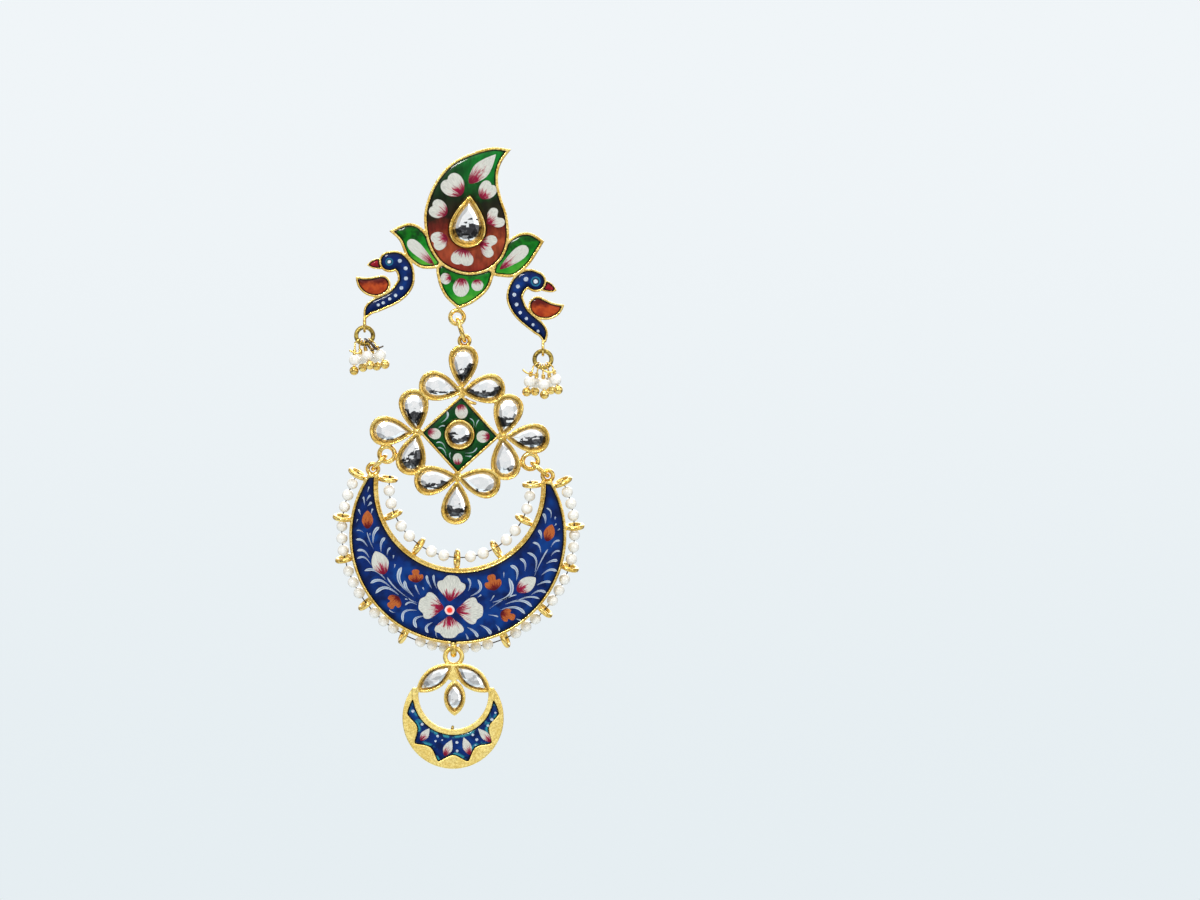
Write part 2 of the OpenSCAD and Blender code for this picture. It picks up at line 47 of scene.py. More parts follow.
class Wire:
    """A socket of a node tree that takes part in Python sums."""

    def __init__(self, tree, socket):
        self.tree = tree
        self.socket = socket

    def math(self, operation, *others):
        inputs = dict(enumerate((self,) + others))
        return self.tree.node("ShaderNodeMath", {"operation": operation}, inputs)

    def __add__(self, other):
        return self.math("ADD", other)

    def __sub__(self, other):
        return self.math("SUBTRACT", other)

    def __mul__(self, other):
        return self.math("MULTIPLY", other)

    def __truediv__(self, other):
        return self.math("DIVIDE", other)

    def __radd__(self, other):
        return self.math("ADD", other)

    def __rmul__(self, other):
        return self.math("MULTIPLY", other)

    def __rsub__(self, other):
        return (self * -1.0) + other

    def step(self, low, high):
        """Rises smoothly from 0 at low to 1 at high."""
        settings = {"interpolation_type": "SMOOTHSTEP"}
        return self.tree.node("ShaderNodeMapRange", settings, {0: self, 1: low, 2: high})


class Tree:
    """A node tree, with the one method that adds a node to it."""

    def __init__(self, tree):
        self.tree = tree

    def node(self, kind, settings=None, inputs=None, out=0):
        made = self.tree.nodes.new(kind)
        for name, value in (settings or {}).items():
            if name == "stops":
                ramp = made.color_ramp.elements
                while len(ramp) < len(value):
                    ramp.new(1.0)
                for stop, (place, colour) in zip(ramp, value):
                    stop.position = place
                    stop.color = (*colour, 1.0)
            else:
                setattr(made, name, value)
        for key, value in (inputs or {}).items():
            socket = made.inputs[key]
            if isinstance(value, Wire):
                self.tree.links.new(value.socket, socket)
            elif socket.type == "RGBA" and len(value) == 3:
                socket.default_value = (*value, 1.0)
            else:
                socket.default_value = value
        return Wire(self, made.outputs[out]) if made.outputs else None

    def place(self):
        return self.node("ShaderNodeTexCoord", out="Object")

    def axis(self, vector, name):
        return self.node("ShaderNodeSeparateXYZ", None, {0: vector}, name)

    def noise(self, vector, size, detail=3.0, roughness=0.5):
        inputs = {"Vector": vector, "Scale": 1.0 / size, "Detail": detail, "Roughness": roughness}
        return self.node("ShaderNodeTexNoise", None, inputs)

    def stretched(self, vector, scale):
        return self.node("ShaderNodeMapping", None, {"Vector": vector, "Scale": scale})

    def mix(self, share, low, high):
        return self.node("ShaderNodeMix", {"data_type": "RGBA"}, {0: share, 6: low, 7: high}, 2)

    def bump(self, height, depth):
        return self.node("ShaderNodeBump", None, {"Distance": depth, "Height": height})

    def map(self, name):
        """The UV map of that name of the piece."""
        return self.node("ShaderNodeUVMap", {"uv_map": name})

    def attribute(self, name):
        """The attribute of that name of the piece, one number at each point."""
        return self.node("ShaderNodeAttribute", {"attribute_name": name}, out="Fac")


def material(name, build, **fixed):
    """A material whose build function gives the links of its shader, and fixed the plain numbers."""
    made = bpy.data.materials.new(name)
    made.use_nodes = True
    made.node_tree.nodes.clear()
    tree = Tree(made.node_tree)
    plain = {key.replace("_", " ").title().replace("Ior", "IOR"): value for key, value in fixed.items()}
    shader = tree.node("ShaderNodeBsdfPrincipled", None, {**plain, **build(tree)})
    tree.node("ShaderNodeOutputMaterial", None, {"Surface": shader})
    return made


# Gold

GOLD_TONES = ((0.98, 0.75, 0.26), (0.66, 0.40, 0.07))
BRUSHED_TONES = ((0.95, 0.78, 0.29), (0.82, 0.60, 0.16))
ANTIQUE_TONES = ((0.60, 0.45, 0.11), (0.20, 0.13, 0.025))
# Tones of the painted shade down the slope into each stone's seat: amber, then dark brown
SEAT_SHADE_AMBER = (0.66, 0.41, 0.07)
SEAT_SHADE_BROWN = (0.19, 0.10, 0.018)


def plated(tones, rough_low, rough_high, grain):
    """Gold plate: cloudy tone, uneven polish and a fine cast grain, with painted shade that goes amber, then
    dark brown, down the slope into each setting.
    """
    light, deep = tones

    def build(tree):
        place = tree.place()
        cloud = tree.noise(place, 2.2 * MM, 4.0, 0.6)
        speck = tree.noise(place, 0.35 * MM, 3.0, 0.6)
        worn = (cloud * 0.5 + speck * 0.5).step(0.40, 0.60)
        rough = speck.step(0.3, 0.7) * (rough_high - rough_low) + rough_low
        height = tree.noise(place, 0.8 * MM, 3.0, 0.55)
        # Painted shade: the gold goes amber, then dark brown and rougher, down the slope into each stone's
        # seat
        slope = tree.attribute("soot") + (speck - 0.5) * 0.35
        warm = tree.mix(slope.step(0.15, 0.55) * 0.8, tree.mix(worn, deep, light), SEAT_SHADE_AMBER)
        return {
            "Base Color": tree.mix(slope.step(0.62, 0.92) * 0.85, warm, SEAT_SHADE_BROWN),
            "Roughness": rough + slope.step(0.15, 0.6) * 0.28,
            "Normal": tree.bump(height, grain),
        }

    return build


GOLD = material("gold_plate", plated(GOLD_TONES, 0.1, 0.3, 0.08 * MM), metallic=1.0)
BRUSHED = material("brushed_gold", plated(BRUSHED_TONES, 0.34, 0.5, 0.05 * MM), metallic=1.0)
ANTIQUE = material("darkened_gold", plated(ANTIQUE_TONES, 0.22, 0.45, 0.08 * MM), metallic=1.0)

# Enamel

WALL_SHADOW = (0.002, 0.002, 0.003)


def enamel(colour):
    """Glossy fired enamel: colour gives its tone, which goes nearly black along the gold wall."""

    def build(tree):
        place = tree.place()
        wave = tree.noise(place, 2.5 * MM, 1.0)
        wall = tree.attribute("wall")
        ragged = wall + (tree.noise(place, 0.5 * MM, 2.0) - 0.5) * 0.16
        tone = tree.mix(ragged.step(0.02, 0.30), WALL_SHADOW, colour(tree, place, wall))
        return {"Base Color": tone, "Normal": tree.bump(wave, 0.1 * MM)}

    return build


def two_tone(dark, light, size):
    """Enamel tone that drifts between two shades in clouds of one size."""

    def colour(tree, place, wall):
        cloud = tree.noise(place, size, 3.0, 0.55).step(0.3, 0.72)
        return tree.mix(cloud, dark, light)

    return colour


def cell_share(tree, across, up, cloud, ragged=0.5):
    """Rises from 0 to 1 over a cell, by its shares across it and up it, with a cloudy edge."""
    cell = tree.map("cell_map")
    return tree.axis(cell, "X") * across + tree.axis(cell, "Y") * up + (cloud - 0.5) * ragged


PAISLEY_TONES = [(0.0, (0.24, 0.026, 0.016)), (0.24, (0.34, 0.065, 0.022)), (0.36, (0.14, 0.014, 0.008)),
                 (0.45, (0.02, 0.012, 0.005)), (0.62, (0.006, 0.017, 0.005)), (1.0, (0.003, 0.065, 0.012))]
PAISLEY_GREEN = (0.003, 0.17, 0.02)


def paisley_colour(tree, place, wall):
    """Red at the foot of the cell, black in its middle, green up its right side, with upright clouds."""
    cloud = tree.noise(place, 2.4 * MM, 3.0, 0.6)
    height = cell_share(tree, 0.0, 1.0, cloud, 0.25)
    tone = tree.node("ShaderNodeValToRGB", {"stops": PAISLEY_TONES}, {0: height})
    lit = cell_share(tree, 1.5, 0.4, cloud).step(0.7, 1.4)
    shade = tree.noise(tree.stretched(place, (1.0, 1.0, 0.35)), 0.9 * MM, 3.0, 0.6)
    green = tree.mix(lit * height.step(0.55, 0.8), tone, PAISLEY_GREEN)
    return tree.mix(shade.step(0.25, 0.7), tree.mix(0.5, green, (0.0, 0.0, 0.0)), green)


def leaf_colour(tree, place, wall):
    """Dark green in the upper part of a leaf that brightens to yellow green lower down."""
    cloud = tree.noise(place, 1.2 * MM, 3.0, 0.6)
    lit = cell_share(tree, 0.45, -1.0, cloud)
    dark = tree.mix(cloud.step(0.35, 0.65), (0.001, 0.035, 0.003), (0.003, 0.12, 0.005))
    glow = tree.mix(lit.step(-0.25, 0.25), (0.004, 0.2, 0.012), (0.075, 0.34, 0.03))
    return tree.mix(lit.step(-0.65, -0.05), dark, glow)


def blue_colour(tree, place, wall):
    """Deep blue with clouds and wide glows, and painted shade that goes nearly black along the wall."""
    cloud = tree.noise(place, 2.0 * MM, 3.0, 0.6)
    tone = tree.mix(cloud.step(0.3, 0.7), (0.0005, 0.008, 0.06), (0.0015, 0.022, 0.15))
    glow = tree.noise(place, 3.6 * MM, 2.0).step(0.5, 0.68)
    clear = tree.mix(glow, tone, (0.0016, 0.035, 0.19))
    # Painted shade along the gold wall, fading out over 1.5 mm from it
    return tree.mix(wall.step(0.0, 1.5) * 0.7 + 0.3, (0.0005, 0.004, 0.028), clear)


def teal_edged(tree, place, wall):
    """Blue that thins to teal in patches along the wall, less so near the top of the cell."""
    patch = tree.noise(place, 1.7 * MM, 2.0).step(0.48, 0.58)
    up = tree.axis(tree.map("cell_map"), "Y")
    thin = (1.0 - wall.step(0.2, 0.8)) * patch * (1.0 - up.step(0.5, 0.9) * 0.4)
    return tree.mix(thin, blue_colour(tree, place, wall + 0.5), (0.03, 0.26, 0.33))


def wing_colour(tree, place, wall):
    """Rust that deepens to dark red along the top of the cell."""
    cloud = tree.noise(place, 1.2 * MM, 3.0, 0.6)
    low = cell_share(tree, 0.1, -1.0, cloud)
    lit = tree.mix(cloud.step(0.3, 0.7), (0.27, 0.028, 0.008), (0.42, 0.065, 0.013))
    return tree.mix(low.step(-0.75, -0.4), (0.09, 0.006, 0.004), lit)


GLAZE = {"roughness": 0.3, "specular_ior_level": 0.04,
         "coat_weight": 0.24, "coat_ior": 1.4, "coat_roughness": 0.03}
PINE_TONES = two_tone((0.001, 0.02, 0.004), (0.003, 0.085, 0.014), 2.0 * MM)
CRIMSON_TONES = two_tone((0.2, 0.004, 0.012), (0.45, 0.02, 0.04), 1.0 * MM)
PAISLEY = material("paisley_enamel_glaze", enamel(paisley_colour), **GLAZE)
GREEN = material("green_enamel_glaze", enamel(leaf_colour), **GLAZE)
DEEP_GREEN = material("deep_green_enamel_glaze", enamel(PINE_TONES), **GLAZE)
BLUE = material("blue_enamel_glaze", enamel(blue_colour), **GLAZE)
TEAL_EDGED = material("teal_edged_enamel_glaze", enamel(teal_edged), **GLAZE)
RUST = material("rust_enamel_glaze", enamel(wing_colour), **GLAZE)
CRIMSON = material("crimson_enamel_glaze", enamel(CRIMSON_TONES), **GLAZE)

# Glass, pearl and thread

SHARD = 1.0 * MM
FOIL_TONES = ((0.86, 0.90, 0.92), (1.0, 1.0, 1.0))
# Tan of the painted reflection of the gold setting, low in each stone
FOIL_GOLD_REFLECTION = (0.62, 0.46, 0.18)


def foiled_glass(dark_low, dark_high, reach):
    """Clear stone on silver foil: bright, with a painted reflection of jagged dark glints from its foot up to
    reach in its map, and a painted reflection of gold low on its sides.
    """

    def build(tree):
        place = tree.place()
        stone = tree.map("stone_map")
        up = tree.axis(stone, "Y")
        across = tree.axis(stone, "X")
        upright = tree.stretched(place, (1.0, 1.0, 1.3))
        jag = tree.node("ShaderNodeTexVoronoi", {"feature": "F1", "distance": "CHEBYCHEV"},
                        {"Vector": upright, "Scale": 1.0 / SHARD}, "Color")
        shard = tree.axis(jag, "X")
        tint = tree.axis(jag, "Y")
        drift = tree.noise(place, 3.4 * MM, 2.0)
        # Painted reflection: a jagged dark band from the stone's foot up to reach, in dark tones mottled by
        # noise
        top = up + across * -0.2 + (drift - 0.5) * 1.3 + (shard - 0.5) * 0.55
        foot = up + (tint - 0.5) * 0.35
        dark = (1.0 - top.step(reach - 0.03, reach + 0.03)) * foot.step(-0.72, -0.66)
        reflection_mottle = tree.noise(place, 0.45 * MM, 4.0, 0.7)
        glint = tree.mix(tint, *FOIL_TONES)
        shade = tree.mix((reflection_mottle + (tint - 0.5) * 0.3).step(0.5, 0.8), dark_low, dark_high)
        # Painted reflection of the gold setting: a tan patch low on the stone's sides, near its outline
        rim = (across * across + up * up).step(0.6, 0.95)
        rust = rim * (1.0 - up.step(-0.75, 0.1)) * reflection_mottle.step(0.35, 0.55)
        lit = tree.mix(dark, glint, shade)
        return {"Base Color": tree.mix(rust * 0.6, lit, FOIL_GOLD_REFLECTION), "Roughness": tint * 0.1 + 0.04}

    return build


CLEAR = {"metallic": 0.85, "coat_weight": 0.6, "coat_roughness": 0.02, "ior": 1.55}
# Copies of the foiled glass that differ only in their painted reflection: dark up to below the middle, dark
# only at the foot, and pale
STONE = material("foiled_glass", foiled_glass(
    (0.014, 0.015, 0.019), (0.20, 0.21, 0.22), -0.12), **CLEAR)
LIT_STONE = material("lit_foiled_glass", foiled_glass(
    (0.03, 0.032, 0.036), (0.3, 0.31, 0.32), -0.62), **CLEAR)
PALE_STONE = material("pale_foiled_glass", foiled_glass(
    (0.55, 0.57, 0.58), (0.75, 0.77, 0.78), -0.1), **CLEAR)


def pearl_skin(tree):
    """Cloudy cream lustre with a faint unevenness."""
    place = tree.place()
    cloud = tree.noise(place, 1.1 * MM, 2.0)
    fine = tree.noise(place, 0.22 * MM, 3.0)
    return {
        "Base Color": tree.mix(cloud.step(0.3, 0.7), (0.75, 0.73, 0.66), (0.88, 0.86, 0.81)),
        "Roughness": fine * 0.08 + 0.16,
        "Normal": tree.bump(cloud, 0.06 * MM),
    }


PEARL = material("pearl_skin", pearl_skin, coat_weight=0.8, coat_roughness=0.06, ior=1.6)


def spun(tree):
    """Waxed brown thread: plies told apart by tone."""
    place = tree.place()
    ply = tree.noise(place, 0.12 * MM, 3.0, 0.7)
    return {
        "Base Color": tree.mix(ply.step(0.35, 0.65), (0.016, 0.008, 0.003), (0.11, 0.065, 0.03)),
        "Normal": tree.bump(ply, 0.05 * MM),
    }


THREAD = material("waxed_thread", spun, roughness=0.75)

# Shapes

TOUCH = 0.001 * MM
STONE_SHOWN = 1.1


def add_piece(name, mesh, body, finish, slot, replaced=()):
    """Puts a finished mesh into the scene: it rides on its body and stands for the CAD nodes named."""
    piece = bpy.data.objects.new(name, mesh)
    bpy.context.scene.collection.objects.link(piece)
    mesh.materials.clear()
    mesh.materials.append(finish)
    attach(piece, body)
    if replaced:
        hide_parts(*replaced)


def mesh_of(name, points, faces, map_name, uv, smooth=True):
    """A mesh with one place in its UV map for each point."""
    mesh = bpy.data.meshes.new(name)
    mesh.from_pydata([tuple(p) for p in points], [], [tuple(int(i) for i in f) for f in faces])
    layer = mesh.uv_layers.new(name=map_name)
    for loop in mesh.loops:
        layer.data[loop.index].uv = uv[loop.vertex_index]
    mesh.polygons.foreach_set("use_smooth", [smooth] * len(mesh.polygons))
    mesh.update()
    return mesh


def reworked(mesh, change):
    """The same mesh, once change has been at work on its points, edges and faces."""
    work = bmesh.new()
    work.from_mesh(mesh)
    change(work)
    work.to_mesh(mesh)
    work.free()
    return mesh


def modified(name, mesh, add_modifiers):
    """The mesh that a mesh becomes under the modifiers that add_modifiers puts on its holder."""
    holder = bpy.data.objects.new(name, mesh)
    bpy.context.scene.collection.objects.link(holder)
    add_modifiers(holder)
    shown = holder.evaluated_get(bpy.context.evaluated_depsgraph_get())
    made = bpy.data.meshes.new_from_object(shown)
    bpy.data.objects.remove(holder)
    made.name = name
    return made


def corners(mesh):
    """The places of a mesh's points, a row for each."""
    places = np.empty(len(mesh.vertices) * 3)
    mesh.vertices.foreach_get("co", places)
    return places.reshape(-1, 3)


def middle(places):
    return (places.min(0) + places.max(0)) / 2


def welded(node):
    """A copy of a CAD node's mesh with its loose triangles joined."""
    return reworked(NODES[node].data.copy(),
                    lambda work: bmesh.ops.remove_doubles(work, verts=work.verts, dist=TOUCH))


def stone_outline(node):
    """The convex outline of a stone, a little larger than the CAD one, with the y of its back and front."""
    co = corners(welded(node))
    back = co[co[:, 1] > co[:, 1].max() - TOUCH][:, [0, 2]]
    centre = back.mean(0)
    order = np.argsort(np.arctan2(back[:, 1] - centre[1], back[:, 0] - centre[0]))
    heart = middle(back)
    return heart + (back[order] - heart) * STONE_SHOWN, co[:, 1].max(), co[:, 1].min()


def distance_to(xz, a, b):
    """Distance of each point to the nearest of the edges that run from a to b."""
    best = np.full(len(xz), 1.0)
    for start, end in zip(a, b):
        d = end - start
        t = np.clip(((xz - start) @ d) / max(d @ d, 1e-18), 0, 1)
        best = np.minimum(best, np.linalg.norm(xz - start - t[:, None] * d, axis=1))
    return best


def dish(mesh, stones, width, depth):
    """Slopes the gold round each stone down towards it, and marks the slope and the seat for painted shade.
    """
    co = corners(mesh)
    # Painted shade: how far down a stone's slope each point lies, which the gold darkens by
    soot = np.zeros(len(co))
    for stone in stones:
        outline, back, front = stone_outline(stone)
        low, high = outline.min(0) - width, outline.max(0) + width
        flat = co[:, [0, 2]]
        near = np.nonzero(((flat > low) & (flat < high)).all(1) & (co[:, 1] < back))[0]
        away = distance_to(flat[near], outline, np.roll(outline, -1, 0))
        share = 1 - np.clip(away / width, 0, 1)
        co[near, 1] += depth * share
        soot[near] = np.maximum(soot[near], share)
    mesh.vertices.foreach_set("co", co.ravel())
    mesh.attributes.new("soot", "FLOAT", "POINT").data.foreach_set("value", soot)


def cast_gold(node, body, finish, grain, share, stones=(), width=1.0, depth=0.0):
    """The CAD node with its edges rounded over and its settings dished: grain is the size of its
    voxels, share the share of its triangles that is kept, width and depth those of each dish."""

    def add_modifiers(holder):
        melt = holder.modifiers.new("melt", "REMESH")
        melt.mode = "VOXEL"
        melt.voxel_size = grain
        tumble = holder.modifiers.new("tumble", "SMOOTH")
        tumble.factor = 0.5
        tumble.iterations = 3
        lighten = holder.modifiers.new("lighten", "DECIMATE")
        lighten.ratio = share

    name = node + "_cast"
    mesh = modified(name, welded(node), add_modifiers)
    dish(mesh, stones, width, depth)
    mesh.polygons.foreach_set("use_smooth", [True] * len(mesh.polygons))
    add_piece(name, mesh, body, finish, "gold", [node])


def rounded(points, steps=5):
    """Closed smooth curve through the points."""
    p = np.array(points, float)
    out = []
    for i in range(len(p)):
        a, b, c, d = p[i - 1], p[i], p[(i + 1) % len(p)], p[(i + 2) % len(p)]
        for t in np.arange(steps) / steps:
            out.append(0.5 * (2 * b + (c - a) * t + (2 * a - 5 * b + 4 * c - d) * t ** 2
                              + (3 * b - 3 * c + d - a) * t ** 3))
    return np.array(out)


def bent(points, steps=6):
    """Open smooth curve through the points."""
    line = rounded(points, steps)
    return line[:(len(points) - 1) * steps + 1]


def mirrored(half):
    """A closed outline from its right half, given from the foot up, with both ends on the middle line."""
    return half + [(-x, z) for x, z in half[-2:0:-1]]


DOME_POWER = 2.2
ROW_STEP = 0.866
EDGE_ROOM = 0.4
HARD_EDGE = 0.7


class Panel:
    """An enamel cell: its outline from the CAD node's front face, and the low dome that fills it."""

    def __init__(self, node, body, slot, rise, edge):
        mesh = welded(node)
        co = corners(mesh)
        self.body = body
        self.slot = slot
        self.front = co[:, 1].min()
        self.back = co[:, 1].max()
        self.rise = rise
        self.edge = edge
        ids = set(np.nonzero(co[:, 1] < self.front + TOUCH)[0].tolist())
        count = {}
        for face in mesh.polygons:
            if all(i in ids for i in face.vertices):
                for key in face.edge_keys:
                    count[key] = count.get(key, 0) + 1
        border = [key for key, n in count.items() if n == 1]
        used = sorted({i for key in border for i in key})
        order = {i: n for n, i in enumerate(used)}
        self.corners = co[used][:, [0, 2]]
        self.border = [(order[a], order[b]) for a, b in border]
        self.a = self.corners[[a for a, b in self.border]]
        self.b = self.corners[[b for a, b in self.border]]

    def depth_in(self, xz):
        """Distance of each point to the outline."""
        return distance_to(np.atleast_2d(xz), self.a, self.b)

    def holds(self, xz):
        """Whether each point lies inside the outline."""
        xz = np.atleast_2d(xz)
        inside = np.zeros(len(xz), bool)
        for a, b in zip(self.a, self.b):
            crosses = (a[1] > xz[:, 1]) != (b[1] > xz[:, 1])
            if crosses.any():
                x = a[0] + (xz[:, 1] - a[1]) * (b[0] - a[0]) / (b[1] - a[1])
                inside ^= crosses & (xz[:, 0] < x)
        return inside

    def skin(self, xz):
        """The y of the enamel's front at each point: it curves down to the wall over its edge."""
        t = 1 - np.clip(self.depth_in(xz) / self.edge, 0, 1)
        return self.front - self.rise * (1 - t ** DOME_POWER)

    def triangles(self, spacing):
        """Even triangles that fill the outline, turned to face the front."""
        low, high = self.corners.min(0), self.corners.max(0)
        rows = enumerate(np.arange(low[1], high[1], spacing * ROW_STEP))
        grid = np.array([(x + (row % 2) * spacing / 2, z)
                         for row, z in rows for x in np.arange(low[0], high[0], spacing)])
        grid = grid[self.holds(grid)]
        grid = grid[self.depth_in(grid) > spacing * EDGE_ROOM]
        flat = [Vector(p) for p in np.vstack([self.corners, grid]) / MM]
        made, _, faces, _, _, _ = delaunay_2d_cdt(flat, self.border, [], 1, 1e-6)
        made = np.array(made) * MM
        faces = np.array(faces)
        faces = faces[self.holds(made[faces].mean(1))]
        a, b, c = (made[faces[:, i]] for i in range(3))
        turn = (b[:, 0] - a[:, 0]) * (c[:, 1] - a[:, 1]) - (b[:, 1] - a[:, 1]) * (c[:, 0] - a[:, 0])
        faces[turn < 0] = faces[turn < 0][:, ::-1]
        return made, faces

    def fill(self, name, spacing):
        """The closed body of enamel, with its place in the cell and its depth from the wall at each point."""
        made, faces = self.triangles(spacing)
        count = len(made)
        tops = np.column_stack([made[:, 0], self.skin(made), made[:, 1]])
        backs = np.column_stack([made[:, 0], np.full(count, self.back), made[:, 1]])
        edges = {(f[i], f[(i + 1) % 3]): True for f in faces for i in range(3)}
        rim = [e for e in edges if (e[1], e[0]) not in edges]
        walls = [(b, a, a + count, b + count) for a, b in rim]
        floor = [(f[2] + count, f[1] + count, f[0] + count) for f in faces]
        low, high = self.corners.min(0), self.corners.max(0)
        share = (made - low) / (high - low)
        mesh = mesh_of(name, np.vstack([tops, backs]), [tuple(f) for f in faces] + walls + floor,
                       "cell_map", np.vstack([share, share]))
        depth = np.concatenate([self.depth_in(made) / MM, np.zeros(count)])
        mesh.attributes.new("wall", "FLOAT", "POINT").data.foreach_set("value", depth)
        return reworked(mesh, crisp_rim)


def crisp_rim(work):
    """Drops points that no face uses, and keeps the edges that turn sharply hard."""
    bmesh.ops.delete(work, geom=[v for v in work.verts if not v.link_faces], context="VERTS")
    for edge in work.edges:
        if len(edge.link_faces) == 2 and edge.calc_face_angle(0.0) > HARD_EDGE:
            edge.smooth = False


PANELS = {}


def fill_cell(node, body, finish, slot, rise=0.16 * MM, edge=0.9 * MM, spacing=0.45 * MM):
    """Fills an enamel cell, and keeps its panel for what is painted on it."""
    panel = PANELS[node] = Panel(node, body, slot, rise, edge)
    name = node + "_fill"
    add_piece(name, panel.fill(name, spacing), body, finish, slot, [node])


# Gold frames

PETAL_STONES = [f"petal_stone_{i}" for i in range(1, 13)]
FLOWER_STONES = PETAL_STONES + ["centre_stone"]
PENDANT_STONES = ["pendant_stone_" + side for side in ("left", "middle", "right")]
cast_gold("stud_frame", "stud", GOLD, grain=0.1 * MM, share=0.42,
          stones=["stud_stone"], width=0.42 * MM, depth=0.42 * MM)
cast_gold("flower_frame", "flower", GOLD, grain=0.1 * MM, share=0.42,
          stones=FLOWER_STONES, width=0.36 * MM, depth=0.3 * MM)
cast_gold("crescent_frame", "crescent", GOLD, grain=0.11 * MM, share=0.42)
cast_gold("pendant_frame", "pendant", BRUSHED, grain=0.09 * MM, share=0.5,
          stones=PENDANT_STONES, width=0.22 * MM, depth=0.15 * MM)

# Enamel cells

fill_cell("paisley_enamel", "stud", PAISLEY, "paisley_enamel")
for leaf in ("left_leaf_enamel", "right_leaf_enamel", "base_leaf_enamel"):
    fill_cell(leaf, "stud", GREEN, "green_enamel", spacing=0.4 * MM)
for side in ("left", "right"):
    fill_cell(side + "_duck_enamel", "stud", BLUE, "blue_enamel", edge=0.8 * MM, spacing=0.3 * MM)
    fill_cell(side + "_wing_enamel", "stud", RUST, "red_enamel", edge=0.8 * MM, spacing=0.3 * MM)
    fill_cell(side + "_beak_enamel", "stud", CRIMSON, "red_enamel", edge=0.5 * MM, spacing=0.25 * MM)
fill_cell("flower_enamel", "flower", DEEP_GREEN, "green_enamel", spacing=0.4 * MM)
fill_cell("crescent_enamel", "crescent", BLUE, "blue_enamel")
fill_cell("pendant_enamel", "pendant", TEAL_EDGED, "blue_enamel", edge=0.7 * MM, spacing=0.3 * MM)

# Painting

PIXEL = 0.19 * MM
ORIGIN_PIXEL = (458, 222)
PAINT_RISE = 0.02 * MM
# How large the marks are painted, against their sizes on the charts
STROKE_WIDTH = 0.84
DOT_SIZE = 0.86
DUCK_EYE_SIZE = 1.7
FLOWER_EYE_SIZE = 1.35


def at_pixel(x, y):
    """The place in the earring's own plane of a pixel of the photo."""
    return np.array([(x - ORIGIN_PIXEL[0]) * PIXEL, (ORIGIN_PIXEL[1] - y) * PIXEL])


# Petal outlines from the foot at -1 to the end at 1, each given as its right half
TWO_LOBED = mirrored([
    (0, -1.0), (0.42, -0.84), (0.84, -0.36), (1.0, 0.2), (0.92, 0.68), (0.62, 0.96), (0.24, 0.98),
    (0, 0.84)])
THREE_LOBED = mirrored([
    (0, -1.0), (0.36, -0.7), (0.8, -0.25), (1.0, 0.12), (0.95, 0.42), (0.66, 0.56), (0.52, 0.76),
    (0.34, 0.95), (0, 1.0)])
CLEFT = mirrored([
    (0, -1.0), (0.36, -0.72), (0.78, -0.38), (1.0, 0.08), (1.0, 0.5), (0.72, 0.84), (0.4, 0.8),
    (0.2, 0.56), (0, 0.38)])
BUD = mirrored([
    (0, -1.0), (0.5, -0.82), (0.92, -0.36), (1.0, 0.0), (0.8, 0.44), (0.44, 0.78), (0.14, 0.95),
    (0, 1.0)])
LEAF = mirrored([
    (0, -1.0), (0.5, -0.8), (0.94, -0.35), (1.0, 0.0), (0.72, 0.42), (0.36, 0.74), (0.12, 0.93),
    (0, 1.0)])
SLIP = mirrored([
    (0, -1.0), (0.46, -0.66), (0.82, -0.1), (1.0, 0.38), (0.84, 0.76), (0.46, 0.95), (0, 1.0)])
TREFOIL = mirrored([
    (0, -1.0), (0.4, -0.88), (0.86, -0.55), (1.0, -0.12), (0.86, 0.2), (0.5, 0.18), (0.42, 0.34),
    (0.5, 0.66), (0.34, 0.94), (0, 1.0)])
DROP = mirrored([(0, -1.0), (0.62, -0.8), (1.0, -0.2), (1.0, 0.3), (0.62, 0.82), (0, 1.0)])

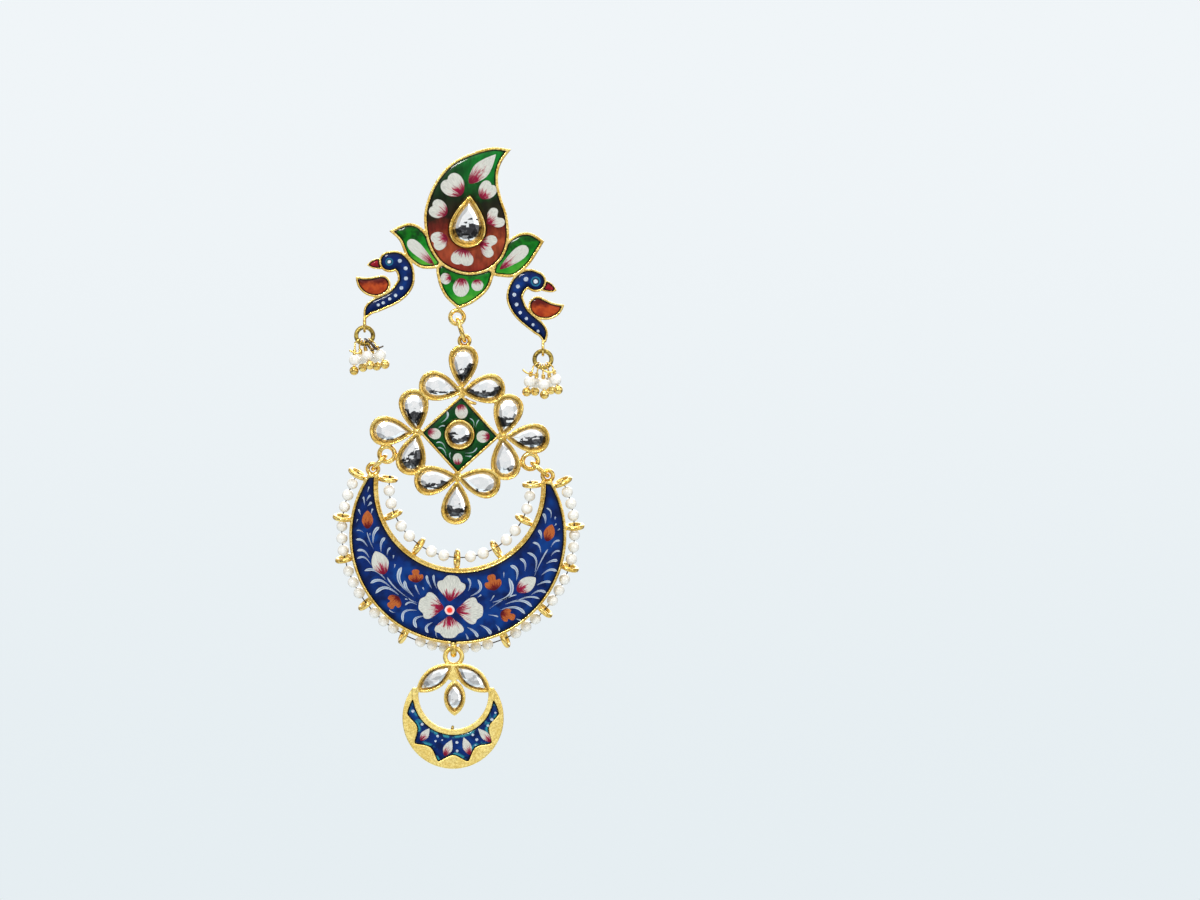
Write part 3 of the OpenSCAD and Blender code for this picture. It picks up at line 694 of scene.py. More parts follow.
# Petals by cell as (foot x, foot y, end x, end y, width, outline), in pixels of the photo
WHITE_PETALS = {
    "paisley_enamel": [
        (462.2, 195.0, 446.4, 178.6, 23.5, TWO_LOBED), (469.4, 183.8, 496.0, 155.0, 16.0, LEAF),
        (481.0, 198.6, 492.6, 184.2, 17.6, TWO_LOBED), (447.2, 214.4, 431.6, 205.8, 18.6, TWO_LOBED),
        (447.6, 237.6, 433.0, 243.8, 18.4, TWO_LOBED), (464.0, 249.0, 461.4, 265.4, 22.5, TWO_LOBED),
        (479.4, 243.6, 496.6, 248.6, 22.0, CLEFT), (487.6, 224.0, 502.0, 214.4, 20.5, CLEFT)],
    "left_leaf_enamel": [(434.3, 265.6, 408.6, 240.8, 12.0, SLIP)],
    "right_leaf_enamel": [(500.0, 269.6, 527.6, 247.4, 13.0, SLIP)],
    "base_leaf_enamel": [
        (462.0, 278.4, 460.6, 297.0, 15.6, DROP), (451.2, 277.2, 440.8, 280.6, 11.0, DROP),
        (477.0, 279.6, 478.2, 291.2, 11.4, DROP)],
    "flower_enamel": [
        (460.6, 404.4, 462.8, 418.6, 12.0, DROP), (428.4, 431.4, 441.0, 435.8, 10.4, DROP),
        (490.0, 436.6, 476.8, 436.8, 11.6, DROP), (458.0, 464.8, 458.0, 453.2, 9.2, DROP)],
    "crescent_enamel": [
        (449.9, 601.0, 452.8, 575.2, 28.0, THREE_LOBED), (444.0, 607.6, 419.0, 603.8, 26.5, THREE_LOBED),
        (456.6, 610.1, 483.3, 610.8, 26.5, THREE_LOBED), (449.6, 615.8, 449.4, 637.8, 28.8, THREE_LOBED),
        (385.0, 573.8, 375.6, 551.2, 16.8, BUD), (517.4, 591.2, 535.8, 577.6, 14.6, BUD)],
    "pendant_enamel": [
        (421.1, 740.0, 429.7, 728.0, 7.7, LEAF), (444.8, 755.2, 452.0, 739.4, 8.8, LEAF),
        (470.4, 754.2, 463.8, 736.8, 8.4, LEAF), (491.1, 741.4, 478.4, 728.0, 7.6, LEAF)],
}
ORANGE_PETALS = {
    "crescent_enamel": [
        (416.5, 582.4, 415.8, 569.2, 15.0, TREFOIL), (399.0, 596.6, 389.4, 607.2, 15.5, TREFOIL),
        (495.2, 590.0, 490.8, 574.4, 17.0, TREFOIL), (500.8, 612.6, 515.0, 617.6, 13.5, TREFOIL),
        (367.9, 528.6, 367.9, 510.4, 11.0, BUD), (546.7, 541.0, 552.2, 524.4, 10.8, BUD)],
}

# Brush strokes by cell as (head x, head y, tail x, tail y, bow, head width), in pixels of the photo
CRESCENT_STROKES = {
    "crescent_enamel": [
        (363.5, 496.5, 365, 505, 0.05, 2.2), (371, 495, 367, 501, -0.1, 2.6),
        (372, 502, 368, 506, 0, 3.4), (369.5, 486.5, 368, 492, 0, 1.6), (359, 509, 361, 514.5, 0, 2.2),
        (373, 508.5, 371.5, 513.5, 0, 2.2), (358, 519, 357, 522, 0, 1.4),
        (357, 530.5, 364, 532.5, 0.2, 1.2), (379.5, 527, 373.5, 543, -0.2, 4.6),
        (385.5, 537.5, 381.5, 551.5, -0.2, 4.0), (391, 547.5, 387.5, 555, -0.2, 2.6),
        (394, 555, 393.5, 558.5, 0, 1.8), (356.5, 539.5, 368, 546.5, 0.25, 3.0),
        (357.5, 550.5, 369.5, 557.5, 0.3, 3.2), (357.5, 558.5, 371, 564, 0.35, 2.6),
        (365, 570.5, 386, 579.5, 0.25, 3.6), (371, 583, 391, 587, 0.3, 4.0),
        (376, 593, 399, 594.5, 0.35, 4.4), (367.5, 532, 374, 549, -0.05, 1.2),
        (370.5, 533, 370, 536, 0, 1.2), (402, 567, 410, 593, -0.3, 5.4),
        (405, 580.5, 414, 596, -0.15, 4.4), (415.5, 584.5, 420, 594.5, -0.05, 2.2),
        (427, 575, 432, 588, -0.1, 3.4), (434, 574.5, 437, 588, -0.1, 3.0),
        (423, 587, 424.5, 590, 0, 1.8), (387.5, 577, 409, 598, -0.08, 1.8),
        (395.5, 564, 394.5, 568, 0, 1.6), (409, 598, 418, 602.5, -0.1, 1.2),
        (405.5, 605, 417.5, 604.5, 0.3, 2.2), (405.5, 598.5, 408.5, 599.5, 0, 1.8),
        (403.5, 621.5, 417, 610, 0.5, 3.6), (417, 627.5, 425, 615.5, 0.55, 4.6),
        (428.5, 632.5, 433, 622, 0.45, 4.0), (436.5, 631.5, 437.5, 637.5, -0.15, 1.2),
        (389.5, 609.5, 395.5, 612.5, -0.1, 1.4), (546.5, 508, 551, 518, 0.3, 2.2),
        (543, 513.5, 545.5, 523.5, 0.15, 4.0), (555.5, 516.5, 555, 519.5, 0, 2.0),
        (556.5, 523.5, 554.5, 526, 0, 1.6), (560, 528.5, 557.5, 530.5, 0, 1.4),
        (538.5, 530, 541.5, 539, 0.15, 4.2), (533, 542.5, 541, 552.5, 0.3, 3.0),
        (527.5, 552.5, 535, 572, 0.35, 3.2), (520, 558.5, 525, 571, 0.3, 3.6),
        (510.5, 565.5, 516.5, 580, 0.35, 4.6), (509, 578, 493, 602, 0.45, 5.4),
        (504, 572, 504, 578, 0, 1.2), (560, 540.5, 551, 547, -0.25, 2.4),
        (560, 551, 551, 556, -0.25, 2.4), (557.5, 560.5, 546.5, 563.5, -0.15, 3.8),
        (557, 571, 541.5, 575, -0.25, 3.4), (551, 582, 537, 585, -0.15, 3.2),
        (546, 592.5, 531.5, 594.5, -0.25, 3.4), (539.5, 598.5, 515, 601, -0.15, 2.4),
        (532, 606.5, 505.5, 604, -0.25, 3.8), (525, 613.5, 501, 609.5, -0.25, 4.0),
        (521.5, 621, 516, 618.5, -0.1, 2.2), (548, 549, 534.5, 575.5, -0.03, 1.8),
        (517, 594.5, 489.5, 608.5, -0.08, 1.8), (478, 579.5, 470.5, 596, 0.45, 3.8),
        (468, 578, 468.5, 590.5, 0.25, 2.6), (494.5, 595, 490.5, 601, 0, 1.4),
        (481.5, 594.5, 478, 597, 0, 1.8), (498.5, 616.5, 488.5, 614.5, -0.05, 1.8),
        (499.5, 630.5, 496, 624.5, -0.15, 2.4), (491, 634, 480, 624.5, -0.15, 4.6),
        (478, 637, 467.5, 627, -0.15, 4.2), (468, 639, 465.5, 633, -0.1, 2.2)],
}
FLOWER_STROKES = {
    "flower_enamel": [
        (447.4, 411.4, 441.4, 422.8, 0.3, 2.6), (445.2, 426.0, 438.2, 428.4, -0.2, 1.8),
        (470.0, 418.4, 473.6, 428.6, 0.3, 1.2), (479.4, 419.8, 476.0, 427.2, -0.12, 1.4),
        (436.4, 442.8, 446.0, 449.2, 0.35, 1.8), (438.2, 447.6, 446.6, 456.8, 0.3, 1.7),
        (450.9, 452.4, 451.0, 459.0, -0.2, 1.4), (477.2, 447.6, 465.0, 452.9, 0.25, 1.5),
        (471.9, 456.2, 465.2, 455.8, 0.05, 1.7)],
}

# Dots by cell as (x, y, radius), in pixels of the photo
DOTS = {
    "left_duck_enamel": [
        (400.2, 261.2, 2.2), (406.0, 268.7, 2.2), (406.3, 278.7, 2.2), (401.7, 288.2, 2.1),
        (395.9, 295.7, 1.9), (390.0, 299.1, 1.8), (383.7, 303.1, 1.8), (378.7, 305.2, 1.7)],
    "right_duck_enamel": [
        (526.1, 279.5, 2.6), (518.0, 286.8, 2.2), (514.4, 295.0, 2.2), (516.7, 304.7, 2.1),
        (520.3, 312.9, 1.9), (526.5, 318.8, 1.8), (533.2, 325.0, 1.7), (538.2, 331.2, 1.6)],
    "pendant_enamel": [
        (413.3, 710.7, 1.8), (422.5, 723.7, 1.6), (437.9, 735.6, 1.5), (435.8, 740.5, 1.3),
        (442.5, 739.5, 1.0), (457.2, 741.9, 1.6), (457.4, 750.4, 1.6), (473.0, 734.2, 1.5),
        (477.0, 739.1, 1.7), (475.8, 744.7, 1.0), (488.2, 725.1, 1.5), (492.1, 719.1, 1.8),
        (495.6, 712.3, 1.2)],
}
DUCK_EYES = {"left_duck_enamel": [(389.6, 262.1, 2.5)], "right_duck_enamel": [(535.8, 281.7, 3.2)]}
FLOWER_EYES = {"crescent_enamel": [(449.9, 609.9, 3.5)]}


class Brush:
    """Gathers painted marks on one panel, each a little raised patch with a map of its own."""

    def __init__(self, panel):
        self.panel = panel
        self.points, self.faces, self.map = [], [], []

    def add_rows(self, rows, maps, closed):
        """Rows of points from the mark's middle out, or along it, joined by faces."""
        first = len(self.points)
        width = len(rows[0])
        for row, row_map in zip(rows, maps):
            self.points += [tuple(p) for p in row]
            self.map += [tuple(m) for m in row_map]
        for r in range(len(rows) - 1):
            a, b = first + r * width, first + (r + 1) * width
            for i in range(width if closed else width - 1):
                j = (i + 1) % width
                self.faces.append((a + i, a + j, b + j, b + i))

    def petal(self, foot_x, foot_y, end_x, end_y, width, outline, rings=5):
        """A patch with the outline laid from foot to end, in rings round its middle."""
        foot, end = at_pixel(foot_x, foot_y), at_pixel(end_x, end_y)
        up = (end - foot) / 2
        across = np.array([up[1], -up[0]]) / np.linalg.norm(up) * width * PIXEL / 2
        local = rounded(outline, 4)
        shares = np.linspace(0.02, 1, rings)
        rows = [foot + up + (local[:, :1] * across + local[:, 1:] * up) * s for s in shares]
        self.add_rows(rows, [local * s for s in shares], True)

    def dot(self, x, y, radius):
        self.petal(x, y + radius, x, y - radius, 2 * radius, DROP, 3)

    def stroke(self, head_x, head_y, tail_x, tail_y, bow, width, steps=14):
        """A bowed stroke with a blunt head that narrows to its tail."""
        head, tail = at_pixel(head_x, head_y), at_pixel(tail_x, tail_y)
        way = tail - head
        side = np.array([way[1], -way[0]])
        t = np.linspace(0, 1, steps)[:, None]
        line = head + way * t + side * (bow * -4 * t * (1 - t)) * (1 - 0.5 * t)
        along = np.gradient(line, axis=0)
        along /= np.linalg.norm(along, axis=1)[:, None]
        normal = np.column_stack([along[:, 1], -along[:, 0]])
        blunt = np.sqrt(np.clip(t / 0.12, 0.02, 1))
        half = width * STROKE_WIDTH * PIXEL / 2 * blunt * (1 - t * 0.92) ** 0.9
        across = np.array([-1, -0.5, 0, 0.5, 1])
        rows = [p + n * h * across[:, None] for p, n, h in zip(line, normal, half)]
        self.add_rows(rows, [[(a, s[0]) for a in across] for s in t], False)

    def mesh(self, name, rise):
        xz = np.array(self.points)
        points = np.column_stack([xz[:, 0], self.panel.skin(xz) - rise, xz[:, 1]])
        return reworked(mesh_of(name, points, self.faces, "paint_map", self.map), face_front)


def face_front(work):
    """Turns every face of a painted patch to the front."""
    for face in work.faces:
        if face.normal.y > 0:
            face.normal_flip()


def paint(kind, charts, finish, rise=PAINT_RISE):
    """Paints each cell's chart of marks as one piece on its panel."""
    for node, chart in charts.items():
        panel = PANELS[node]
        brush = Brush(panel)
        draw = {"strokes": brush.stroke, "dots": brush.dot, "eye": brush.dot}.get(kind, brush.petal)
        for mark in chart:
            draw(*mark)
        name = node.replace("_enamel", "_") + kind
        add_piece(name, brush.mesh(name, rise), panel.body, finish, panel.slot)


def petal_paint(pale, pale_shade, deep, deep_shade, reach):
    """Petal with fine brush lines, and streaks of the deep tone that fan out from its foot."""

    def build(tree):
        place = tree.place()
        mark = tree.map("paint_map")
        up = tree.axis(mark, "Y") * 0.5 + 0.5
        fan = tree.axis(mark, "X") / (up + 0.22)
        # Drifts slowly over the earring, so that no two petals have the same streaks
        own = tree.axis(place, "X") * 330.0 + tree.axis(place, "Z") * 210.0
        ray = tree.node("ShaderNodeCombineXYZ", None, {0: fan * 7.0, 1: up * 0.7, 2: own})
        hair = tree.node("ShaderNodeTexNoise", None, {"Vector": ray, "Scale": 1.6, "Detail": 2.0})
        bristle = tree.node("ShaderNodeTexNoise", None, {"Vector": ray, "Scale": 5.0, "Detail": 1.0})
        edge = up + (hair - 0.5) * 1.15 + (bristle - 0.5) * 0.25 + fan.math("ABSOLUTE") * 0.1
        deep_share = 1.0 - edge.step(reach - 0.07, reach + 0.07)
        tone = tree.mix(bristle.step(0.35, 0.65), pale_shade, pale)
        dark = tree.mix(up.step(0.0, reach), deep_shade, deep)
        return {"Base Color": tree.mix(deep_share, tone, dark), "Normal": tree.bump(bristle, 0.02 * MM)}

    return build


STROKE_WHITE = (0.43, 0.50, 0.56)


def stroke_paint(ground):
    """White brush stroke that thins to the ground towards its tail and in the middle of its head."""

    def build(tree):
        mark = tree.map("paint_map")
        along = tree.axis(mark, "Y")
        side = tree.axis(mark, "X")
        own = tree.axis(tree.place(), "X") * 500.0
        line = tree.node("ShaderNodeCombineXYZ", None, {0: side * 2.0, 1: along * 1.5, 2: own})
        hair = tree.node("ShaderNodeTexNoise", None, {"Vector": line, "Scale": 2.0, "Detail": 2.0})
        cover = side.math("ABSOLUTE") * 0.8 + 0.36 - along * 0.38 + (hair - 0.5) * 0.8
        return {"Base Color": tree.mix(cover.step(0.0, 0.8), ground, STROKE_WHITE)}

    return build


def dot_paint(tree):
    """Pale dot, flecked with its blue ground."""
    fleck = tree.noise(tree.place(), 0.25 * MM, 2.0)
    return {"Base Color": tree.mix(fleck.step(0.35, 0.65), (0.28, 0.35, 0.46), (0.52, 0.58, 0.64))}


def eye_paint(stops):
    """Round mark whose tones change from its middle out."""

    def build(tree):
        mark = tree.map("paint_map")
        reach = tree.node("ShaderNodeVectorMath", {"operation": "LENGTH"}, {0: mark}, "Value")
        wobble = (tree.noise(tree.place(), 0.2 * MM, 2.0) - 0.5) * 0.2
        return {"Base Color": tree.node("ShaderNodeValToRGB", {"stops": stops}, {0: reach + wobble})}

    return build


WHITE_PETAL = material("white_petal_paint", petal_paint(
    (0.62, 0.62, 0.56), (0.42, 0.43, 0.39), (0.30, 0.006, 0.045), (0.14, 0.004, 0.02), 0.42), **GLAZE)
ORANGE_PETAL = material("orange_petal_paint", petal_paint(
    (0.49, 0.14, 0.032), (0.28, 0.055, 0.015), (0.15, 0.008, 0.009), (0.07, 0.004, 0.008), 0.4), **GLAZE)
BLUE_STROKE = material("stroke_on_blue", stroke_paint((0.015, 0.05, 0.2)), **GLAZE)
GREEN_STROKE = material("stroke_on_green", stroke_paint((0.02, 0.16, 0.06)), **GLAZE)
DOT = material("dot_paint", dot_paint, **GLAZE)
DUCK_EYE_TONES = [(0.0, (0.62, 0.66, 0.68)), (0.34, (0.55, 0.62, 0.68)), (0.44, (0.006, 0.02, 0.06)),
                  (0.62, (0.004, 0.02, 0.08)), (0.72, (0.02, 0.17, 0.25)), (0.84, (0.015, 0.13, 0.22)),
                  (0.96, (0.001, 0.015, 0.11))]
DUCK_EYE = material("duck_eye_paint", eye_paint(DUCK_EYE_TONES), **GLAZE)
FLOWER_EYE_TONES = [(0.0, (0.92, 0.03, 0.015)), (0.5, (0.92, 0.05, 0.03)), (0.64, (0.80, 0.42, 0.40)),
                    (0.9, (0.74, 0.64, 0.62))]
FLOWER_EYE = material("flower_eye_paint", eye_paint(FLOWER_EYE_TONES), **GLAZE)


def sized(charts, size):
    """The same dots with each radius times size."""
    return {node: [(x, y, radius * size) for x, y, radius in chart] for node, chart in charts.items()}


paint("white_petals", WHITE_PETALS, WHITE_PETAL)
paint("orange_petals", ORANGE_PETALS, ORANGE_PETAL)
paint("strokes", CRESCENT_STROKES, BLUE_STROKE, PAINT_RISE / 2)
paint("strokes", FLOWER_STROKES, GREEN_STROKE, PAINT_RISE / 2)
paint("dots", sized(DOTS, DOT_SIZE), DOT)
paint("eye", sized(DUCK_EYES, DUCK_EYE_SIZE), DUCK_EYE)
paint("eye", sized(FLOWER_EYES, FLOWER_EYE_SIZE), FLOWER_EYE)


# Geometry trees

def geometry_tree(name, inputs, build):
    """A node tree with named inputs, which ends in Realize Instances and Set Material."""
    group = bpy.data.node_groups.new(name, "GeometryNodeTree")
    sockets = group.interface
    sockets.new_socket("Geometry", in_out="INPUT", socket_type="NodeSocketGeometry")
    for label, kind in inputs.items():
        sockets.new_socket(label, in_out="INPUT", socket_type="NodeSocket" + kind)
    sockets.new_socket("Finish", in_out="INPUT", socket_type="NodeSocketMaterial")
    sockets.new_socket("Geometry", in_out="OUTPUT", socket_type="NodeSocketGeometry")
    tree = Tree(group)
    entry = group.nodes.new("NodeGroupInput")
    given = {socket.name: Wire(tree, socket) for socket in entry.outputs if socket.name}
    real = tree.node("GeometryNodeRealizeInstances", None, {0: build(tree, given)})
    smooth = tree.node("GeometryNodeSetShadeSmooth", None, {0: real})
    done = tree.node("GeometryNodeSetMaterial", None, {"Geometry": smooth, "Material": given["Finish"]})
    group.links.new(done.socket, group.nodes.new("NodeGroupOutput").inputs[0])
    return group


def grown(name, group, points, edges, finish, **values):
    """The plain mesh that a geometry tree makes of points and edges."""
    seed = bpy.data.meshes.new(name + "_seed")
    seed.from_pydata([tuple(p) for p in points], edges, [])
    values["Finish"] = finish

    def add_modifier(holder):
        grow = holder.modifiers.new("grow", "NODES")
        grow.node_group = group
        for item in group.interface.items_tree:
            if item.in_out == "INPUT" and item.name in values:
                grow[item.identifier] = values[item.name]

    return modified(name, seed, add_modifier)


def wire_build(tree, given):
    """A round wire along each line."""
    line = tree.node("GeometryNodeMeshToCurve", None, {0: given["Geometry"]})
    section = tree.node("GeometryNodeCurvePrimitiveCircle", {"mode": "RADIUS"},
                        {"Resolution": given["Sides"], "Radius": given["Radius"]})
    return tree.node("GeometryNodeCurveToMesh", None,
                     {"Curve": line, "Profile Curve": section, "Fill Caps": True})


def beads_build(tree, given):
    """A ball on each point, each turned its own way and a little smaller or not."""
    ball = tree.node("GeometryNodeMeshUVSphere", None,
                     {"Segments": 24, "Rings": 16, "Radius": given["Radius"]})
    size = tree.node("FunctionNodeRandomValue", {"data_type": "FLOAT"},
                     {2: given["Smallest"], 3: 1.0, "Seed": given["Seed"]}, 1)
    turn = tree.node("FunctionNodeRandomValue", {"data_type": "FLOAT_VECTOR"},
                     {0: (0.0, 0.0, 0.0), 1: (math.tau, math.tau, math.tau), "Seed": given["Seed"]}, 0)
    points = tree.node("GeometryNodeMeshToPoints", None, {0: given["Geometry"]})
    return tree.node("GeometryNodeInstanceOnPoints", None,
                     {"Points": points, "Instance": ball, "Rotation": turn, "Scale": size})


WIRE = geometry_tree("drawn_wire", {"Radius": "Float", "Sides": "Int"}, wire_build)
BEADS = geometry_tree("strung_beads", {"Radius": "Float", "Smallest": "Float", "Seed": "Int"}, beads_build)


def add_wires(name, lines, radius, body, finish=GOLD, slot="gold", sides=10, closed=False, replaced=()):
    """One piece of round wire that follows each of the lines."""
    points, edges = [], []
    for line in lines:
        first = len(points)
        points += list(line)
        edges += [(i, i + 1) for i in range(first, len(points) - 1)]
        if closed:
            edges.append((len(points) - 1, first))
    mesh = grown(name, WIRE, points, edges, finish, Radius=radius, Sides=sides)
    add_piece(name, mesh, body, finish, slot, replaced)


# Stones

GIRDLE_SHARE = 0.45
CROWN_SIZE, CROWN_DEPTH = 0.80, 0.13
TABLE_SIZE = 0.56


def cut_stones(name, nodes, body, finish):
    """Stones with a girdle, two rows of crown facets and a table, and a map that runs up each stone."""
    points, faces, uv = [], [], []
    for node in nodes:
        outline, back, front = stone_outline(node)
        n = len(outline) // 2 * 2
        outline = outline[:n]
        centre = middle(outline)
        half = outline.max(0) - centre
        between = (outline + np.roll(outline, -1, 0)) / 2
        rise = back - front
        rows = [(outline, back), (outline, back - rise * GIRDLE_SHARE),
                (centre + (between - centre) * CROWN_SIZE, front + rise * CROWN_DEPTH),
                (centre + (outline[::2] - centre) * TABLE_SIZE, front)]
        starts = []
        for ring, y in rows:
            starts.append(len(points))
            points += [(x, y, z) for x, z in ring]
            uv += [tuple(place) for place in (ring - centre) / half]
        b, g, c, t = starts
        for i in range(n):
            j = (i + 1) % n
            faces += [(b + i, b + j, g + j, g + i), (g + i, g + j, c + i), (c + i, g + j, c + j)]
        for k in range(n // 2):
            i, j, after = 2 * k, 2 * k + 1, (k + 1) % (n // 2)
            faces += [(t + k, c + i, c + j), (t + k, c + j, t + after), (t + k, c + (i - 1) % n, c + i)]
        faces.append(tuple(t + k for k in range(n // 2)))
        faces.append(tuple(b + i for i in reversed(range(n))))
    mesh = reworked(mesh_of(name, points, faces, "stone_map", uv, False),
                    lambda work: bmesh.ops.recalc_face_normals(work, faces=work.faces))
    add_piece(name, mesh, body, finish, "stone", nodes)


def stone_at(x, y):
    """The petal stone that lies at a pixel of the photo."""
    return min(PETAL_STONES, key=lambda node: np.linalg.norm(stone_outline(node)[0].mean(0) - at_pixel(x, y)))


# The petal stones that mirror little dark, by a pixel of the photo that each covers
LIT_PIXELS = [(434, 384), (391, 430), (508, 460), (482, 486)]
LIT_STONES = [stone_at(*pixel) for pixel in LIT_PIXELS]
DARK_STONES = [node for node in FLOWER_STONES if node not in LIT_STONES]
cut_stones("stud_cut_stone", ["stud_stone"], "stud", STONE)
cut_stones("flower_cut_stones", DARK_STONES, "flower", STONE)
cut_stones("flower_lit_cut_stones", LIT_STONES, "flower", LIT_STONE)
cut_stones("pendant_cut_stones", PENDANT_STONES, "pendant", PALE_STONE)

# Raised lines

RIDGE_REACH = 0.6 * MM


def ridges(name, stones, body, grow, sink, radius):
    """A raised line round each stone on the front of its setting: grow is its distance from the stone,
    sink how far its middle lies below the front."""
    gold = corners(NODES[body + "_frame"].data)
    lines = []
    for stone in stones:
        outline = stone_outline(stone)[0]
        smooth = rounded(outline, 3)
        along = np.roll(smooth, -1, 0) - np.roll(smooth, 1, 0)
        out = np.column_stack([along[:, 1], -along[:, 0]]) / np.linalg.norm(along, axis=1)[:, None]
        out *= np.sign(((smooth - middle(outline)) * out).sum(1))[:, None]
        ring = smooth + out * grow
        near = distance_to(gold[:, [0, 2]], ring, np.roll(ring, -1, 0)) < RIDGE_REACH
        front = gold[near, 1].min() + sink
        lines.append([(x, front, z) for x, z in ring])
    add_wires(name, lines, radius, body, closed=True)


ridges("flower_ridges", PETAL_STONES, "flower", grow=0.4 * MM, sink=0.04 * MM, radius=0.17 * MM)
ridges("centre_ridge", ["centre_stone"], "flower", grow=0.3 * MM, sink=0.04 * MM, radius=0.17 * MM)
ridges("stud_ridge", ["stud_stone"], "stud", grow=0.42 * MM, sink=0.05 * MM, radius=0.17 * MM)
ridges("pendant_ridges", PENDANT_STONES, "pendant", grow=0.2 * MM, sink=0.05 * MM, radius=0.13 * MM)

BAY_CENTRE = np.array([0.23, -53.77]) * MM
BAY_DROP = 3.45 * MM
BAY_TURN = math.radians(-2.2)
BAY_RADIUS = 15.5 * MM
BAY_RUN = (math.radians(-186), math.radians(6))
# Both lines of the bay's rim as (share of the way from the bay to the enamel, depth below the front)
BAY_LINES = [(0.1, 0.0), (0.85, 0.03 * MM)]
RIM_BAND = 0.12 * MM


def bay_ridge():
    """The two fine lines that run round the crescent's bay, on the front of its rim."""
    centre = BAY_CENTRE + BAY_DROP * np.array([-math.sin(BAY_TURN), math.cos(BAY_TURN)])
    gold = corners(NODES["crescent_frame"].data)
    away = np.hypot(gold[:, 0] - centre[0], gold[:, 2] - centre[1])
    rim = np.linalg.norm(PANELS["crescent_enamel"].corners - centre, axis=1).min()
    front = gold[np.abs(away - rim) < RIM_BAND, 1].min()
    angle = np.linspace(*BAY_RUN, 160) + BAY_TURN
    lines = []
    for share, sink in BAY_LINES:
        reach = BAY_RADIUS + (rim - BAY_RADIUS) * share
        lines.append([(centre[0] + reach * math.cos(a), front + sink, centre[1] + reach * math.sin(a))
                      for a in angle])
    add_wires("bay_ridge", lines, 0.15 * MM, "crescent")


bay_ridge()

# Pearls

SMALLEST_PEARL = 0.95


def islands(node):
    """The loose solids of a CAD node, as arrays of corners."""
    mesh = welded(node)
    owner = list(range(len(mesh.vertices)))

    def root(i):
        while owner[i] != i:
            owner[i] = owner[owner[i]]
            i = owner[i]
        return i

    for edge in mesh.edges:
        a, b = (root(i) for i in edge.vertices)
        owner[a] = b
    groups = {}
    for i, vertex in enumerate(mesh.vertices):
        groups.setdefault(root(i), []).append(vertex.co[:])
    found = [np.array(g) for g in groups.values()]
    return sorted(found, key=lambda g: (round(g[:, 0].mean(), 5), g[:, 2].mean()))


def string_pearls(node, body, seed):
    """A round pearl in the place of each solid of a CAD node."""
    balls = islands(node)
    radius = float(np.ptp(balls[0], axis=0).max() / 2)
    name = node + "_strung"
    mesh = grown(name, BEADS, [middle(ball) for ball in balls], [], PEARL,
                 Radius=radius, Smallest=SMALLEST_PEARL, Seed=seed)
    add_piece(name, mesh, body, PEARL, "pearl", [node])


string_pearls("left_drop_pearls", "stud", 1)
string_pearls("right_drop_pearls", "stud", 2)
string_pearls("inner_pearls", "crescent", 3)
string_pearls("outer_pearls", "crescent", 4)

# CAD nodes that are shown as they are

PLAIN_NODES = {
    "ear_post": GOLD, "top_link": GOLD, "left_side_link": GOLD, "right_side_link": GOLD,
    "left_drop_pins": GOLD, "right_drop_pins": GOLD, "left_drop_ring": ANTIQUE, "right_drop_ring": ANTIQUE,
}
for node, finish in PLAIN_NODES.items():
    NODES[node].data.materials.clear()
    NODES[node].data.materials.append(finish)

# Wraps, knots and wire ends

ASKEW = (0.31, 0.95, 0.05)
WRAP_START, WRAP_END = 1.1 * MM, 1.95 * MM


def coil(start, end, radius, turns, sides=14):
    """A helix of even pitch round the line from start to end."""
    axis = (end - start) / np.linalg.norm(end - start)
    across = np.cross(axis, ASKEW)
    across /= np.linalg.norm(across)
    up = np.cross(axis, across)
    angle = np.linspace(0, math.tau * turns, int(turns * sides) + 1)[:, None]
    return start + (end - start) * angle / angle[-1] + radius * (np.cos(angle) * across + np.sin(angle) * up)


def wrapped_pins(side):
    """The turns of fine wire that close each drop's pin above its pearl."""
    pins = islands(side + "_drop_pins")
    lines = []
    for pearl in islands(side + "_drop_pearls"):
        centre = middle(pearl)
        pin = min(pins, key=lambda g: np.linalg.norm(g - centre, axis=1).min())
        ball = pin[pin[:, 2] < pin[:, 2].min() + 0.8 * MM].mean(0)
        way = (centre - ball) / np.linalg.norm(centre - ball)
        lines.append(coil(centre + way * WRAP_START, centre + way * WRAP_END, 0.27 * MM, 3))
    add_wires(side + "_drop_wraps", lines, 0.13 * MM, "stud", sides=8)


def photo_line(places):
    """A smooth line through (pixel x, pixel y, y in mm) places."""
    flat = [at_pixel(x, z) for x, z, y in places]
    return bent([(across, place[2] * MM, up) for (across, up), place in zip(flat, places)])


# Loose thread, wire ends and solder as lines of (pixel x, pixel y, y in mm) places
KNOT = [
    [(364.5, 339.0, 0.4), (366.8, 339.6, -1.3), (371.0, 343.5, -2.0), (374.5, 348.8, -1.9),
     (372.0, 350.5, -0.6), (367.5, 345.5, 0.5), (365.2, 341.2, 0.2)],
    [(366.0, 342.0, -1.0), (369.5, 342.0, -2.3), (374.0, 345.5, -2.4), (376.0, 349.5, -1.6)],
    [(373.8, 345.5, -1.5), (374.6, 348.8, -2.2), (378.7, 348.2, -2.3), (383.3, 346.3, -2.1)]]
LEFT_END = [[(360.8, 350.6, -2.3), (358.6, 353.6, -2.8), (354.6, 352.6, -2.9), (350.9, 350.8, -2.7)]]
RIGHT_ENDS = [[(523.8, 370.0, -2.2), (526.0, 372.6, -2.8), (530.5, 374.4, -2.9), (536.4, 374.9, -2.4)],
              [(554.7, 370.7, -2.2), (552.4, 372.4, -2.8), (547.5, 372.2, -2.9), (542.4, 369.5, -2.3)]]
SOLDER = [[(459.2, 393.2, -1.5), (460.4, 394.4, -1.7), (461.6, 393.6, -1.5)],
          [(457.6, 388.6, -1.5), (458.7, 387.4, -1.7), (460.0, 387.2, -1.5)],
          [(466.0, 399.4, -1.0), (470.4, 402.2, -1.5), (475.3, 403.4, -1.5)]]
